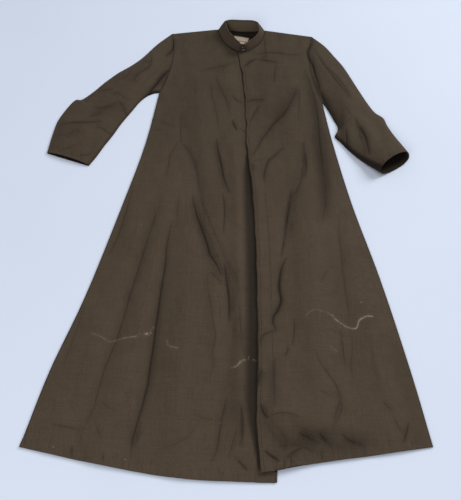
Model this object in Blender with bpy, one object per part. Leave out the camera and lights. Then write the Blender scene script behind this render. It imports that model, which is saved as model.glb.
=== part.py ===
"""A plain dark cassock, laid flat on its back with the sleeves out to the sides.

Sizes are in centimetres, in the garment's own frame: x runs to the wearer's left, y towards
the head, z up, and the origin is the middle of the collar's seam at the back. The meshes are
written in metres, about the middle of the laid-out garment, with the back on the plane z = 0.
"""
import bpy
import numpy as np

CM = 0.01

# Where the middle of the laid-out garment lies in the garment's frame
MIDDLE_X = -2.743
MIDDLE_Y = -69.171

# The cloth's wall, and the space between two pieces that touch or are sewn together
WALL = 0.15
SEAM_GAP = 0.03
BUTT_GAP = 0.05

# Columns and rows of each front: along the neck, along the shoulder, across the underlap,
# down the armhole and down the side seam
NECK_STEPS = 9
SHOULDER_STEPS = 5
UNDERLAP_STEPS = 3
ARMHOLE_ROWS = 9
SIDE_ROWS = 28
BACK_NECK_STEPS = 8

# The neck: the seam's ends at the shoulders, and its front middle
NECK_RIGHT = (-7.4, 0.0)
NECK_LEFT = (7.3, 0.0)
NECK_FRONT_RIGHT = ((-0.9, -9.7), (-2.1, -9.1), (-4.0, -7.3), (-5.9, -4.6), (-6.9, -2.0), NECK_RIGHT)
NECK_FRONT_LEFT = ((2.5, -9.4), (4.9, -7.0), (6.4, -4.4), (7.1, -1.9), NECK_LEFT)
NECK_MIDDLE = ((-0.9, -9.7), (0.9, -9.95), (2.5, -9.4))
NECK_BACK = (NECK_RIGHT, (0.0, -0.6), NECK_LEFT)

# The shoulders end at the armholes, and each armhole bows in towards the chest
SHOULDER_RIGHT = (-21.6, -2.5)
SHOULDER_LEFT = (21.9, -2.4)
ARMHOLE_RIGHT = (SHOULDER_RIGHT, (-18.6, -14.0), (-23.3, -27.3))
ARMHOLE_LEFT = (SHOULDER_LEFT, (18.7, -13.5), (24.1, -29.8))

# The side seams, from the underarm to the hem, flared like a skirt
SIDE_RIGHT = ((-23.3, -27.3), (-25.6, -47.2), (-29.6, -67.8), (-35.5, -94.9), (-41.0, -114.7),
              (-44.3, -130.6))
SIDE_LEFT = ((24.1, -29.8), (26.6, -45.5), (30.7, -65.9), (36.4, -88.4), (41.4, -111.9),
             (44.6, -129.6))

# The front edge of the left front, which lies over the right front as far as the underlap
FRONT_EDGE = ((-0.9, -9.7), (0.6, -19.1), (2.2, -35.0), (2.7, -47.9), (4.6, -63.3),
              (5.8, -83.5), (6.5, -105.4), (6.5, -124.0), (7.5, -136.5))
UNDERLAP = 3.4

# The hems: the right front hangs lower at the middle than the left front
HEM_LEFT = ((10.9, -135.9), (20.1, -133.9), (33.1, -131.7), (44.6, -129.6))
HEM_RIGHT_STITCHES = ((7.5, -136.5), (-9.6, -136.2), (-26.9, -133.9), (-44.3, -130.6))
HEM_RIGHT = ((7.5, -138.4), (-9.6, -138.1), (-26.9, -135.8), (-44.8, -132.5))
HEM_UNDERLAP_END = (10.9, -138.3)
HEM_BACK = ((45.0, -130.3), (33.1, -131.3), (20.1, -133.4), (9.0, -135.9), (-2.0, -137.4),
            (-12.0, -137.5), (-26.9, -135.6), (-45.2, -133.1))

# The loose lie of the fronts over the back, and how far the left front's edge stands up
FRONT_LIFT = 0.55
EDGE_RISE = 0.75
EDGE_RISE_FROM = -40.0

# Folds of the right front, by start, middle and end: x, y, x, y, x, y, half width, height
FOLDS_RIGHT = (
    (-17.5, -58.0, -21.5, -96.0, -25.5, -134.0, 3.2, 0.75),
    (-18.5, -50.0, -24.2, -88.0, -32.0, -134.0, 2.2, -0.50),
    (-16.1, -72.0, -17.8, -104.0, -20.5, -135.0, 2.2, -0.55),
    (-10.5, -74.0, -11.5, -104.0, -10.5, -137.0, 3.4, 0.85),
    (-16.5, -36.0, -12.4, -51.0, -8.3, -70.6, 2.4, -0.45),
    (-12.3, -61.0, -7.4, -77.7, -3.1, -90.0, 2.4, -0.45),
    (-2.0, -84.0, -0.6, -102.0, -1.2, -126.0, 2.2, -0.50),
    (-6.2, -42.0, -4.6, -53.2, -2.1, -64.0, 2.2, -0.40),
    (-12.5, -18.5, -6.0, -16.1, -1.3, -13.5, 1.8, -0.25),
    (-27.0, -60.0, -31.5, -95.0, -38.0, -131.0, 3.6, 0.50),
    (-11.0, -26.0, -10.0, -42.0, -9.0, -56.0, 3.4, 0.45),
)

# Folds of the left front, in the same columns
FOLDS_LEFT = (
    (20.2, -19.0, 23.2, -50.0, 21.6, -72.0, 2.6, -0.55),
    (10.9, -36.0, 7.8, -42.0, 4.1, -52.0, 2.4, -0.50),
    (14.4, -61.0, 12.9, -82.0, 10.7, -104.0, 2.4, -0.55),
    (26.7, -71.0, 26.9, -95.0, 28.0, -119.0, 2.4, -0.50),
    (18.5, -50.0, 19.5, -86.0, 20.5, -130.0, 3.6, 0.85),
    (33.0, -78.0, 35.5, -104.0, 38.5, -128.0, 3.4, 0.60),
    (8.8, -58.0, 9.0, -92.0, 9.4, -118.0, 2.6, 0.45),
    (13.5, -20.0, 14.5, -34.0, 15.5, -48.0, 3.4, 0.45),
    (13.0, -127.5, 22.0, -128.6, 31.0, -129.0, 2.0, -0.40),
)

# Rings of the sleeves, from the armhole to the cuff. Columns: outer edge x, y, inner edge
# x, y, height of the crown, and how round the ring stands, from 0, flat, to 1
SLEEVE_RIGHT = (
    (-21.6, -2.5, -23.3, -27.3, 0.50, 0.0),
    (-25.6, -7.2, -24.9, -27.6, 1.20, 0.0),
    (-29.2, -12.7, -26.9, -28.9, 1.70, 0.0),
    (-32.7, -16.7, -28.8, -31.3, 1.80, 0.0),
    (-36.2, -19.8, -30.5, -34.6, 1.70, 0.0),
    (-39.5, -23.6, -32.0, -37.4, 1.80, 0.0),
    (-42.8, -28.0, -33.3, -40.0, 1.90, 0.0),
    (-45.6, -31.0, -34.3, -42.4, 2.10, 0.0),
    (-47.5, -31.3, -35.0, -44.0, 2.10, 0.0),
    (-49.4, -34.6, -35.9, -45.9, 2.00, 0.0),
    (-51.2, -39.3, -37.0, -48.1, 1.70, 0.0),
    (-51.9, -44.6, -38.4, -51.4, 1.40, 0.05),
    (-52.3, -50.9, -40.2, -54.9, 1.15, 0.15),
)
SLEEVE_LEFT = (
    (21.9, -2.4, 24.1, -29.8, 0.50, 0.0),
    (25.6, -6.4, 25.1, -31.4, 1.20, 0.0),
    (28.6, -11.2, 26.2, -34.0, 1.60, 0.0),
    (30.9, -15.1, 27.2, -36.5, 1.70, 0.0),
    (33.0, -20.0, 28.1, -38.9, 1.70, 0.0),
    (35.0, -24.8, 27.9, -41.0, 1.80, 0.0),
    (36.9, -29.2, 27.2, -42.6, 2.00, 0.0),
    (38.9, -33.2, 28.7, -44.6, 2.20, 0.1),
    (41.2, -35.6, 30.3, -46.8, 2.50, 0.2),
    (42.0, -38.6, 32.4, -49.4, 2.90, 0.35),
    (43.5, -42.8, 34.9, -52.0, 3.50, 0.55),
    (45.2, -46.6, 36.9, -54.0, 4.10, 0.8),
    (46.7, -50.0, 38.6, -55.6, 4.70, 1.0),
)
FOLDS_SLEEVE_RIGHT = (
    (-20.9, -13.2, -23.8, -20.3, -28.0, -28.6, 1.8, -0.80),
    (-29.0, -9.5, -28.0, -17.0, -31.0, -26.0, 2.6, 0.60),
    (-41.5, -33.0, -38.8, -31.6, -35.6, -29.0, 1.8, -0.55),
    (-49.5, -37.5, -45.0, -37.4, -39.0, -37.0, 1.8, -0.50),
    (-48.0, -42.5, -43.5, -44.0, -39.0, -46.0, 2.0, 0.40),
)
FOLDS_SLEEVE_LEFT = (
    (22.5, -6.0, 27.0, -13.5, 32.0, -24.0, 2.2, -0.40),
    (33.0, -24.0, 31.0, -31.0, 30.0, -38.0, 2.6, 0.50),
    (35.4, -33.5, 38.8, -40.0, 40.0, -46.5, 2.0, -0.70),
    (32.8, -38.5, 33.6, -43.0, 35.0, -47.5, 1.8, -0.50),
)
SLEEVE_RINGS = 26
RING_POINTS = 28
FOLDED_EDGE = 0.36
CUFF_TILT_FROM = 0.8
CUFF_TILT = 1.6

# The collar's upper edge, in the four stretches of its seam. Columns: x, y, height
COLLAR_WALL = 0.22
COLLAR_FOOT = WALL + SEAM_GAP
COLLAR_TOP_LAP = ((2.2, -9.15, 3.50), (1.3, -10.0, 3.52), (-0.2, -10.15, 3.60))
COLLAR_TOP_RIGHT = ((-0.2, -10.15, 3.60), (-1.3, -8.4, 3.40), (-2.5, -6.4, 3.35),
                    (-4.1, -4.2, 3.50), (-4.8, -2.2, 3.80), (-5.2, -0.3, 4.10))
COLLAR_TOP_BACK = ((-5.2, -0.3, 4.10), (-3.4, 0.1, 4.30), (0.0, 0.0, 4.35), (3.3, 0.0, 4.30),
                   (5.0, -0.5, 4.10))
COLLAR_TOP_LEFT = ((5.0, -0.5, 4.10), (5.5, -2.0, 3.80), (5.6, -4.0, 3.50), (4.4, -6.4, 3.35),
                   (3.1, -7.9, 3.40), (2.2, -9.15, 3.50))
LAP_FADE_STEPS = 4

# The button on the collar's overlap, and the two blank labels inside the neck
BUTTON_RADIUS = 0.55
BUTTON_DEPTH = 0.30
BUTTON_SIDES = 20
BUTTON_STATION = 0.62
BUTTON_HEIGHT = 0.60
LABEL_TURN = np.radians(-12.5)
LABEL = {"middle": (-0.08, -3.92), "width": 4.8, "height": 2.1, "depth": 0.10}
TAB = {"middle": (0.37, -6.06), "width": 2.3, "height": 1.8, "depth": 0.10}

# Finishes: linear colour, roughness, metallic
CLOTH = ((0.058, 0.046, 0.033), 0.85, 0.0)
COLLAR_CLOTH = ((0.034, 0.028, 0.021), 0.80, 0.0)
BUTTON_FINISH = ((0.012, 0.011, 0.010), 0.30, 0.0)
LABEL_FINISH = ((0.55, 0.50, 0.42), 0.75, 0.0)


def clear_scene():
    for item in list(bpy.data.objects):
        bpy.data.objects.remove(item, do_unlink=True)


def smooth(value, low, high):
    """A step from 0 to 1 between low and high, with level ends."""
    t = np.clip((value - low) / (high - low), 0.0, 1.0)
    return t * t * (3.0 - 2.0 * t)


def through(points, steps):
    """Evenly spaced points on a smooth curve that passes through the points given."""
    pts = np.array(points, dtype=float)
    ends = np.vstack([2 * pts[0] - pts[1], pts, 2 * pts[-1] - pts[-2]])
    t = np.linspace(0.0, 1.0, 24, endpoint=False)[:, None]
    runs = []
    for a, b, c, d in zip(ends[:-3], ends[1:-2], ends[2:-1], ends[3:]):
        runs.append(0.5 * (2 * b + (c - a) * t + (2 * a - 5 * b + 4 * c - d) * t ** 2
                           + (3 * b - a - 3 * c + d) * t ** 3))
    fine = np.vstack(runs + [pts[-1:]])
    length = np.concatenate([[0.0], np.cumsum(np.linalg.norm(np.diff(fine, axis=0), axis=1))])
    at = np.linspace(0.0, length[-1], steps + 1)
    return np.stack([np.interp(at, length, fine[:, k]) for k in range(fine.shape[1])], axis=1)


def arc(points, u):
    """A bowed curve from the first point to the last, pulled towards the middle one."""
    first, pull, last = (np.array(p, dtype=float) for p in points)
    u = np.asarray(u, dtype=float)[..., None]
    return (1 - u) ** 2 * first + 2 * u * (1 - u) * pull + u ** 2 * last


def coons(top, bottom, inner, outer):
    """A grid between four edges: rows run down the inner and outer edges, columns across."""
    u = np.linspace(0.0, 1.0, len(top))[None, :, None]
    v = np.linspace(0.0, 1.0, len(inner))[:, None, None]
    across = (1 - v) * top[None] + v * bottom[None]
    down = (1 - u) * inner[:, None] + u * outer[:, None]
    corners = ((1 - u) * (1 - v) * top[0] + u * (1 - v) * top[-1]
               + (1 - u) * v * bottom[0] + u * v * bottom[-1])
    return across + down - corners


def fold_height(x, y, folds):
    """The sum of soft ridges and troughs: a bell across each fold that fades at its ends."""
    total = np.zeros_like(x)
    for x1, y1, x2, y2, x3, y3, half_width, height in folds:
        path = through(((x1, y1), (x2, y2), (x3, y3)), 10)
        nearest = np.full(x.shape, np.inf)
        along = np.zeros_like(x)
        for k, (a, b) in enumerate(zip(path[:-1], path[1:])):
            run = b - a
            t = np.clip(((x - a[0]) * run[0] + (y - a[1]) * run[1]) / run.dot(run), 0.0, 1.0)
            distance = np.hypot(x - a[0] - t * run[0], y - a[1] - t * run[1])
            closer = distance < nearest
            nearest = np.where(closer, distance, nearest)
            along = np.where(closer, (k + t) / (len(path) - 1), along)
        fade = np.sin(np.pi * np.clip(along, 0.04, 0.96)) ** 0.5
        total += height * fade * np.exp(-(nearest / half_width) ** 2)
    return total


def body_edges():
    """The edges that the panels share, as rows and columns of points."""
    rows = ARMHOLE_ROWS + SIDE_ROWS
    armhole_u = np.linspace(0.0, 1.0, ARMHOLE_ROWS + 1)
    edges = {"front": through(FRONT_EDGE, rows)}
    edges["underlap"] = edges["front"] + (UNDERLAP, 0.0)
    edges["underlap"][0] = NECK_MIDDLE[-1]
    edges["underlap"][-1] = HEM_LEFT[0]
    for side, armhole, seam in (("right", ARMHOLE_RIGHT, SIDE_RIGHT), ("left", ARMHOLE_LEFT, SIDE_LEFT)):
        edges[side] = np.vstack([arc(armhole, armhole_u), through(seam, SIDE_ROWS)[1:]])
    edges["neck_right"] = through(NECK_FRONT_RIGHT, NECK_STEPS)
    edges["neck_left"] = through(NECK_FRONT_LEFT, NECK_STEPS)
    edges["neck_middle"] = through(NECK_MIDDLE, UNDERLAP_STEPS)
    edges["neck_back"] = through(NECK_BACK, BACK_NECK_STEPS)
    edges["shoulder_right"] = np.linspace(NECK_RIGHT, SHOULDER_RIGHT, SHOULDER_STEPS + 1)
    edges["shoulder_left"] = np.linspace(NECK_LEFT, SHOULDER_LEFT, SHOULDER_STEPS + 1)
    return edges


def front_grid(edges, side):
    """The plan of one front: its grid from the front edge or the underlap to the side seam."""
    top = np.vstack([edges["neck_" + side], edges["shoulder_" + side][1:]])
    columns = len(top) - 1
    if side == "right":
        bottom = through(HEM_RIGHT_STITCHES, columns)
        return coons(top, bottom, edges["front"], edges["right"])
    return coons(top, through(HEM_LEFT, columns), edges["underlap"], edges["left"])


def underlap_grid(edges):
    """The strip in which the left front lies on the right front, from edge to edge."""
    hem = np.linspace(edges["front"][-1], edges["underlap"][-1], UNDERLAP_STEPS + 1)
    return coons(edges["neck_middle"], hem, edges["front"], edges["underlap"])


def lie(grid, folds):
    """How far a front floats above the back: nothing at its seams, with its folds between."""
    rows, columns = grid.shape[:2]
    v = np.linspace(0.0, 1.0, rows)[:, None] * np.ones((1, columns))
    u = np.ones((rows, 1)) * np.linspace(0.0, 1.0, columns)[None]
    inside = smooth(1.0 - u, 0.0, 0.22) * smooth(v, 0.0, 0.12)
    inside *= 1.0 - 0.45 * smooth(v, 0.86, 1.0)
    return np.maximum(0.0, (FRONT_LIFT + fold_height(grid[..., 0], grid[..., 1], folds)) * inside)


def solid_from_sheets(under, upper):
    """Faces and points of a closed wall between two grids of the same size."""
    rows, columns = under.shape[:2]
    points = np.vstack([upper.reshape(-1, 3), under.reshape(-1, 3)])
    offset = rows * columns
    index = np.arange(offset).reshape(rows, columns)
    faces = []
    for r in range(rows - 1):
        for c in range(columns - 1):
            a, b, d, e = index[r, c], index[r, c + 1], index[r + 1, c + 1], index[r + 1, c]
            faces.append((a, b, d, e))
            faces.append((a + offset, e + offset, d + offset, b + offset))
    rim = list(index[0, :]) + list(index[1:, -1]) + list(index[-1, -2::-1]) + list(index[-2:0:-1, 0])
    for a, b in zip(rim, rim[1:] + rim[:1]):
        faces.append((b, a, a + offset, b + offset))
    return points, faces


def make_material(name, finish):
    colour, roughness, metallic = finish
    material = bpy.data.materials.new(name)
    material.use_nodes = True
    shader = material.node_tree.nodes["Principled BSDF"]
    shader.inputs["Base Color"].default_value = (*colour, 1.0)
    shader.inputs["Roughness"].default_value = roughness
    shader.inputs["Metallic"].default_value = metallic
    material.diffuse_color = (*colour, 1.0)
    return material


def add_object(name, points, faces, finish, smooth_angle=50.0):
    """Place points given in the garment's frame as one object, with its faces outwards."""
    world = (np.asarray(points, dtype=float) - (MIDDLE_X, MIDDLE_Y, 0.0)) * CM
    mesh = bpy.data.meshes.new(name)
    mesh.from_pydata(world.tolist(), [], [tuple(int(i) for i in f) for f in faces])
    mesh.validate()
    triangles = [(p.vertices[0], p.vertices[i], p.vertices[i + 1])
                 for p in mesh.polygons for i in range(1, len(p.vertices) - 1)]
    a, b, c = (world[[t[k] for t in triangles]] for k in range(3))
    if np.einsum("ij,ij->i", a, np.cross(b, c)).sum() < 0:
        mesh.flip_normals()
    mesh.shade_smooth()
    mesh.set_sharp_from_angle(angle=np.radians(smooth_angle))
    mesh.materials.append(make_material(name + "_finish", finish))
    item = bpy.data.objects.new(name, mesh)
    bpy.context.scene.collection.objects.link(item)
    return item


def make_back(edges):
    """The back: one flat sheet on the surface, cut to the garment's outline."""
    outline = np.vstack([
        edges["neck_back"], edges["shoulder_left"][1:], edges["left"][1:-1],
        through(HEM_BACK, 24), edges["right"][-2::-1][:-1], edges["shoulder_right"][::-1][:-1]])
    count = len(outline)
    low = np.column_stack([outline, np.zeros(count)])
    high = low + (0.0, 0.0, WALL)
    ring = list(range(count))
    faces = [tuple(ring), tuple(i + count for i in reversed(ring))]
    faces += [(i, i + count, (i + 1) % count + count, (i + 1) % count) for i in ring]
    return add_object("back", np.vstack([low, high]), faces, CLOTH)


def sheet(grid, height):
    """A grid's plan at its heights."""
    return np.dstack([grid, height])


def make_fronts(edges):
    """The two fronts, the left one made over the right one's points where they lap."""
    strip = underlap_grid(edges)
    plan_right = front_grid(edges, "right")
    plan_left = front_grid(edges, "left")
    floor = WALL + SEAM_GAP

    # The right front: its own part towards the side seam, and the underlap
    columns = plan_right.shape[1]
    from_edge = edges["front"][:, None, 0] - plan_right[..., 0]
    lift_right = lie(plan_right, FOLDS_RIGHT) * smooth(from_edge, 0.5, 5.5)
    low_right = np.hstack([lift_right[:, ::-1], np.zeros((len(strip), UNDERLAP_STEPS))]) + floor
    plan = np.hstack([plan_right[:, ::-1], strip[:, 1:]])
    hem = np.vstack([through(HEM_RIGHT, columns - 1)[::-1],
                     np.linspace(HEM_RIGHT[0], HEM_UNDERLAP_END, UNDERLAP_STEPS + 1)[1:]])
    plan = np.vstack([plan, hem[None]])
    low_right = np.vstack([low_right, 0.6 * (low_right[-1:] - floor) + floor])
    under = sheet(plan, low_right)
    upper = sheet(plan, low_right + WALL)
    add_object("front_right", *solid_from_sheets(under, upper), CLOTH)

    # The left front: raised along its free edge, low at its side seam
    rise = EDGE_RISE * smooth(-edges["front"][:, 1], -EDGE_RISE_FROM, -EDGE_RISE_FROM + 14.0)
    rise *= 1.0 - 0.3 * np.sin(np.linspace(0.0, 5.0 * np.pi, len(rise))) ** 2
    on_strip = floor + WALL + SEAM_GAP + rise[:, None] * np.linspace(1.0, 0.8, UNDERLAP_STEPS + 1)
    lift_left = lie(plan_left, FOLDS_LEFT)
    across = np.linspace(0.0, 1.0, plan_left.shape[1])[None]
    inner = smooth(across, 0.0, 0.3)
    from_lap = (on_strip[:, -1:] - floor) * (1.0 - inner)
    low_main = floor + from_lap + lift_left * (0.15 + 0.85 * inner)
    on_strip[:, -1] = low_main[:, 0]
    plan = np.hstack([strip, plan_left[:, 1:]])
    low_left = np.hstack([on_strip, low_main[:, 1:]])
    under = sheet(plan, low_left)
    upper = sheet(plan, low_left + WALL)
    add_object("front_left", *solid_from_sheets(under, upper), CLOTH)


def ring_section(height, roundness, angle):
    """One ring's section: half-width factors, and the heights of its outer and inner skin."""
    high_edge = (1.0 - roundness) * FOLDED_EDGE + roundness * height
    middle = (1.0 - roundness) * FOLDED_EDGE / 2 + roundness * height * 0.42
    lean = np.abs(np.sin(angle))
    first = np.sin(2.0 * np.pi / RING_POINTS)
    quick = np.minimum(1.0, lean / first)
    quick = (1.0 - roundness) * quick + roundness * lean ** 0.75
    crown = (height - high_edge) * lean ** 1.6
    top = middle + (high_edge - middle) * quick + crown
    bottom = middle * (1.0 - quick)
    above = np.sin(angle) >= -1e-9
    outer = np.where(above, top, bottom)
    wall = WALL * np.minimum(1.0, lean / first)
    inner = np.where(above, top - wall, bottom + wall)
    return outer, inner, above


def make_sleeve(name, rings, armhole, folds):
    """A sleeve: a tube through flattened rings, flat below and crowned above."""
    table = through(rings, SLEEVE_RINGS)
    angle = np.arange(RING_POINTS) * 2.0 * np.pi / RING_POINTS
    share = (1.0 - np.cos(angle)) / 2.0
    outer_side = np.sign(rings[-1][0])
    bow = arc(armhole, share) - (np.array(armhole[0]) + share[:, None]
                                 * (np.array(armhole[2]) - np.array(armhole[0])))
    skins = {"outer": [], "inner": []}
    for k, (ax, ay, bx, by, height, roundness) in enumerate(table):
        v = k / SLEEVE_RINGS
        a = np.array((ax, ay))
        b = np.array((bx, by))
        reach = np.linalg.norm(b - a)
        fade = (1.0 - smooth(v, 0.0, 0.35))
        outer_z, inner_z, above = ring_section(height, max(0.0, roundness), angle)
        plan = a + share[:, None] * (b - a) + bow * fade
        plan[:, 0] += outer_side * BUTT_GAP
        pull = WALL * np.cos(angle)[:, None] * (b - a) / reach
        along = np.array((-(b - a)[1], (b - a)[0])) / reach * outer_side
        tilt = CUFF_TILT * max(0.0, roundness) * smooth(v, CUFF_TILT_FROM, 1.0)
        ripple = fold_height(plan[:, 0], plan[:, 1], folds) * np.abs(np.sin(angle)) ** 1.5
        ripple *= smooth(v, 0.0, 0.08)
        lowest = FOLDED_EDGE - outer_z
        ripple = np.where(above, np.maximum(ripple, np.minimum(0.0, lowest)), 0.0)
        for skin, z, inward in (("outer", outer_z, 0.0), ("inner", inner_z, 1.0)):
            shift = tilt * (0.55 - z / max(height, 0.1))
            xy = plan + pull * inward + along * shift[:, None]
            skins[skin].append(np.column_stack([xy, z + ripple]))
    outer = np.array(skins["outer"])
    inner = np.array(skins["inner"])
    rows, columns = outer.shape[:2]
    points = np.vstack([outer.reshape(-1, 3), inner.reshape(-1, 3)])
    offset = rows * columns
    faces = []
    for r in range(rows - 1):
        for c in range(columns):
            n = (c + 1) % columns
            a, b = r * columns + c, r * columns + n
            faces.append((a, b, b + columns, a + columns))
            faces.append((a + offset, a + columns + offset, b + columns + offset, b + offset))
    for c in range(columns):
        n = (c + 1) % columns
        faces.append((c, c + offset, n + offset, n))
        last = (rows - 1) * columns
        faces.append((last + c, last + n, last + n + offset, last + c + offset))
    return add_object(name, points, faces, CLOTH)


def collar_path(edges):
    """Stations of the band from its right end, under the lap, round the neck to its left end."""
    lower = [edges["neck_middle"][::-1], edges["neck_right"][1:], edges["neck_back"][1:],
             edges["neck_left"][::-1][1:], edges["neck_middle"][::-1][1:]]
    upper = [through(COLLAR_TOP_LAP, UNDERLAP_STEPS), through(COLLAR_TOP_RIGHT, NECK_STEPS)[1:],
             through(COLLAR_TOP_BACK, BACK_NECK_STEPS)[1:], through(COLLAR_TOP_LEFT, NECK_STEPS)[1:],
             through(COLLAR_TOP_LAP, UNDERLAP_STEPS)[1:]]
    return np.vstack(lower), np.vstack(upper)


def inward(path):
    """Level unit normals of a path that runs clockwise round the neck, towards its middle."""
    run = np.gradient(path[:, :2], axis=0)
    run /= np.linalg.norm(run, axis=1)[:, None]
    return np.column_stack([run[:, 1], -run[:, 0], np.zeros(len(run))])


def collar_faces(edges):
    """The outer face's lower and upper edge at each station, and both inward normals."""
    lower, upper = collar_path(edges)
    lower = np.column_stack([lower, np.full(len(lower), COLLAR_FOOT)])
    to_middle_low = inward(lower)
    to_middle_high = inward(upper)
    under = 1.0 - smooth(np.arange(len(lower)), UNDERLAP_STEPS, UNDERLAP_STEPS + LAP_FADE_STEPS)
    inset = (BUTT_GAP + under * (COLLAR_WALL + BUTT_GAP))[:, None]
    return lower + to_middle_low * inset, upper + to_middle_high * inset, to_middle_low, to_middle_high


def make_collar(edges):
    """The standing band: one wall through all stations, with a rounded upper edge."""
    lower, upper, normal_low, normal_high = collar_faces(edges)
    halfway = (lower + upper) / 2.0
    normal_mid = (normal_low + normal_high) / 2.0
    round_top = (0.0, 0.0, 0.35 * COLLAR_WALL)
    section = np.stack([
        lower, halfway, upper, upper + normal_high * COLLAR_WALL / 2 + round_top,
        upper + normal_high * COLLAR_WALL, halfway + normal_mid * COLLAR_WALL,
        lower + normal_low * COLLAR_WALL], axis=1)
    rows, columns = section.shape[:2]
    faces = []
    for r in range(rows - 1):
        for c in range(columns):
            n = (c + 1) % columns
            faces.append((r * columns + c, (r + 1) * columns + c, (r + 1) * columns + n, r * columns + n))
    faces.append(tuple(range(columns)))
    faces.append(tuple((rows - 1) * columns + c for c in reversed(range(columns))))
    add_object("collar", section.reshape(-1, 3), faces, COLLAR_CLOTH)


def make_button(edges):
    """A turned button with a raised rim, its back just clear of the collar's face."""
    lower, upper, _, _ = collar_faces(edges)
    last = len(lower) - 1
    station = last - UNDERLAP_STEPS * (1.0 - BUTTON_STATION)
    low = np.array([np.interp(station, range(last + 1), lower[:, k]) for k in range(3)])
    high = np.array([np.interp(station, range(last + 1), upper[:, k]) for k in range(3)])
    along = lower[last] - lower[last - UNDERLAP_STEPS]
    rise = (high - low) / np.linalg.norm(high - low)
    out = np.cross(along, rise)
    out /= np.linalg.norm(out)
    out *= -np.sign(out[1])
    side = np.cross(rise, out)
    centre = low + (high - low) * BUTTON_HEIGHT + out * (SEAM_GAP + 0.03)
    profile = ((0.55, 0.0), (0.9, 0.15), (1.0, 0.45), (0.97, 0.85), (0.84, 1.0), (0.66, 0.86),
               (0.3, 0.74))
    turn = np.arange(BUTTON_SIDES) * 2.0 * np.pi / BUTTON_SIDES
    spokes = np.cos(turn)[:, None] * side + np.sin(turn)[:, None] * rise
    points = [centre + spokes * BUTTON_RADIUS * r + out * BUTTON_DEPTH * d for r, d in profile]
    points = np.vstack(points)
    faces = []
    for r in range(len(profile) - 1):
        for c in range(BUTTON_SIDES):
            n = (c + 1) % BUTTON_SIDES
            faces.append((r * BUTTON_SIDES + c, r * BUTTON_SIDES + n,
                          (r + 1) * BUTTON_SIDES + n, (r + 1) * BUTTON_SIDES + c))
    top = (len(profile) - 1) * BUTTON_SIDES
    faces.append(tuple(reversed(range(BUTTON_SIDES))))
    faces.append(tuple(top + c for c in range(BUTTON_SIDES)))
    add_object("collar_button", points, faces, BUTTON_FINISH, 40.0)


def make_label(name, sizes):
    """A blank label: a thin slip turned a little, on the inside of the back."""
    x, y = sizes["middle"]
    right = np.array((np.cos(LABEL_TURN), np.sin(LABEL_TURN), 0.0)) * sizes["width"] / 2
    up = np.array((-np.sin(LABEL_TURN), np.cos(LABEL_TURN), 0.0)) * sizes["height"] / 2
    low = np.array((x, y, WALL + SEAM_GAP))
    corners = [low - right - up, low + right - up, low + right + up, low - right + up]
    points = np.vstack([corners, np.array(corners) + (0.0, 0.0, sizes["depth"])])
    faces = [(0, 3, 2, 1), (4, 5, 6, 7)] + [(k, (k + 1) % 4, (k + 1) % 4 + 4, k + 4) for k in range(4)]
    add_object(name, points, faces, LABEL_FINISH, 30.0)


def main():
    clear_scene()
    edges = body_edges()
    make_back(edges)
    make_fronts(edges)
    make_sleeve("sleeve_right", SLEEVE_RIGHT, ARMHOLE_RIGHT, FOLDS_SLEEVE_RIGHT)
    make_sleeve("sleeve_left", SLEEVE_LEFT, ARMHOLE_LEFT, FOLDS_SLEEVE_LEFT)
    make_collar(edges)
    make_button(edges)
    make_label("neck_label", LABEL)
    make_label("size_tab", TAB)


main()
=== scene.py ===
import bpy
import numpy as np
from mathutils import Matrix, Vector


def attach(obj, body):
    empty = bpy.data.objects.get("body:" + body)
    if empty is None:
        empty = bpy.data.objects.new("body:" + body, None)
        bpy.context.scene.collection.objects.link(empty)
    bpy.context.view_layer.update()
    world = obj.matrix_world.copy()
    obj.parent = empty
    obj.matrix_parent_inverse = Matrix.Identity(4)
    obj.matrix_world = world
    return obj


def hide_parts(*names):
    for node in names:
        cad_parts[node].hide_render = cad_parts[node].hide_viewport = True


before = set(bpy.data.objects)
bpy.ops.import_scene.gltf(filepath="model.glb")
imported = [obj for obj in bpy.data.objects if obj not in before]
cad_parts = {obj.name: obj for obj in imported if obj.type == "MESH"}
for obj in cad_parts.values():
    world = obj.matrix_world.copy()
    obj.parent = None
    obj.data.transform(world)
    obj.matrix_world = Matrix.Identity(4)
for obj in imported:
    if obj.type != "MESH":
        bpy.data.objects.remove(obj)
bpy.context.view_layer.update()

CM = 0.01
MIDDLE = (-2.743, -69.171, 0.0)

# The walls of the solids, and the thinner cloth that lies on their form
WALL = 0.15
SEAM_GAP = 0.03
BUTT_GAP = 0.05
CLOTH = 0.09
HEM_CLOTH = 0.14
FLOOR = WALL + SEAM_GAP

# How finely curves and paths are stepped, and a distance that counts as far away
CURVE_STEPS = 24
FOLD_STEPS = 10
CREASE_STEPS = 14
SCUFF_STEPS = 24
FAR = 60.0

# Rolled rims: how far they stand out, at a panel's edge and at a tube's or a band's end, and
# how much farther out, and how high, a lip hangs over the edge of the cloth below
RIM_OUT = 0.04
RIM_BEYOND = 0.05
LIP_OUT = 0.05
LIP_HEIGHT = 0.06

# Slow unevenness: its number of waves, and for the body and the sleeves its size and height
DRIFT_WAVES = 9
DRIFT = (11.0, 0.055)
SLEEVE_DRIFT = (7.0, 0.07)

# Columns and rows of the panels
FINE = 8
NECK_STEPS = 9 * FINE
SHOULDER_STEPS = 5 * FINE
UNDERLAP_STEPS = 3 * FINE
BACK_NECK_STEPS = 8 * FINE
ARMHOLE_ROWS = 9 * 7
SIDE_ROWS = 28 * 7
HEM_ROWS = 6

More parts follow.
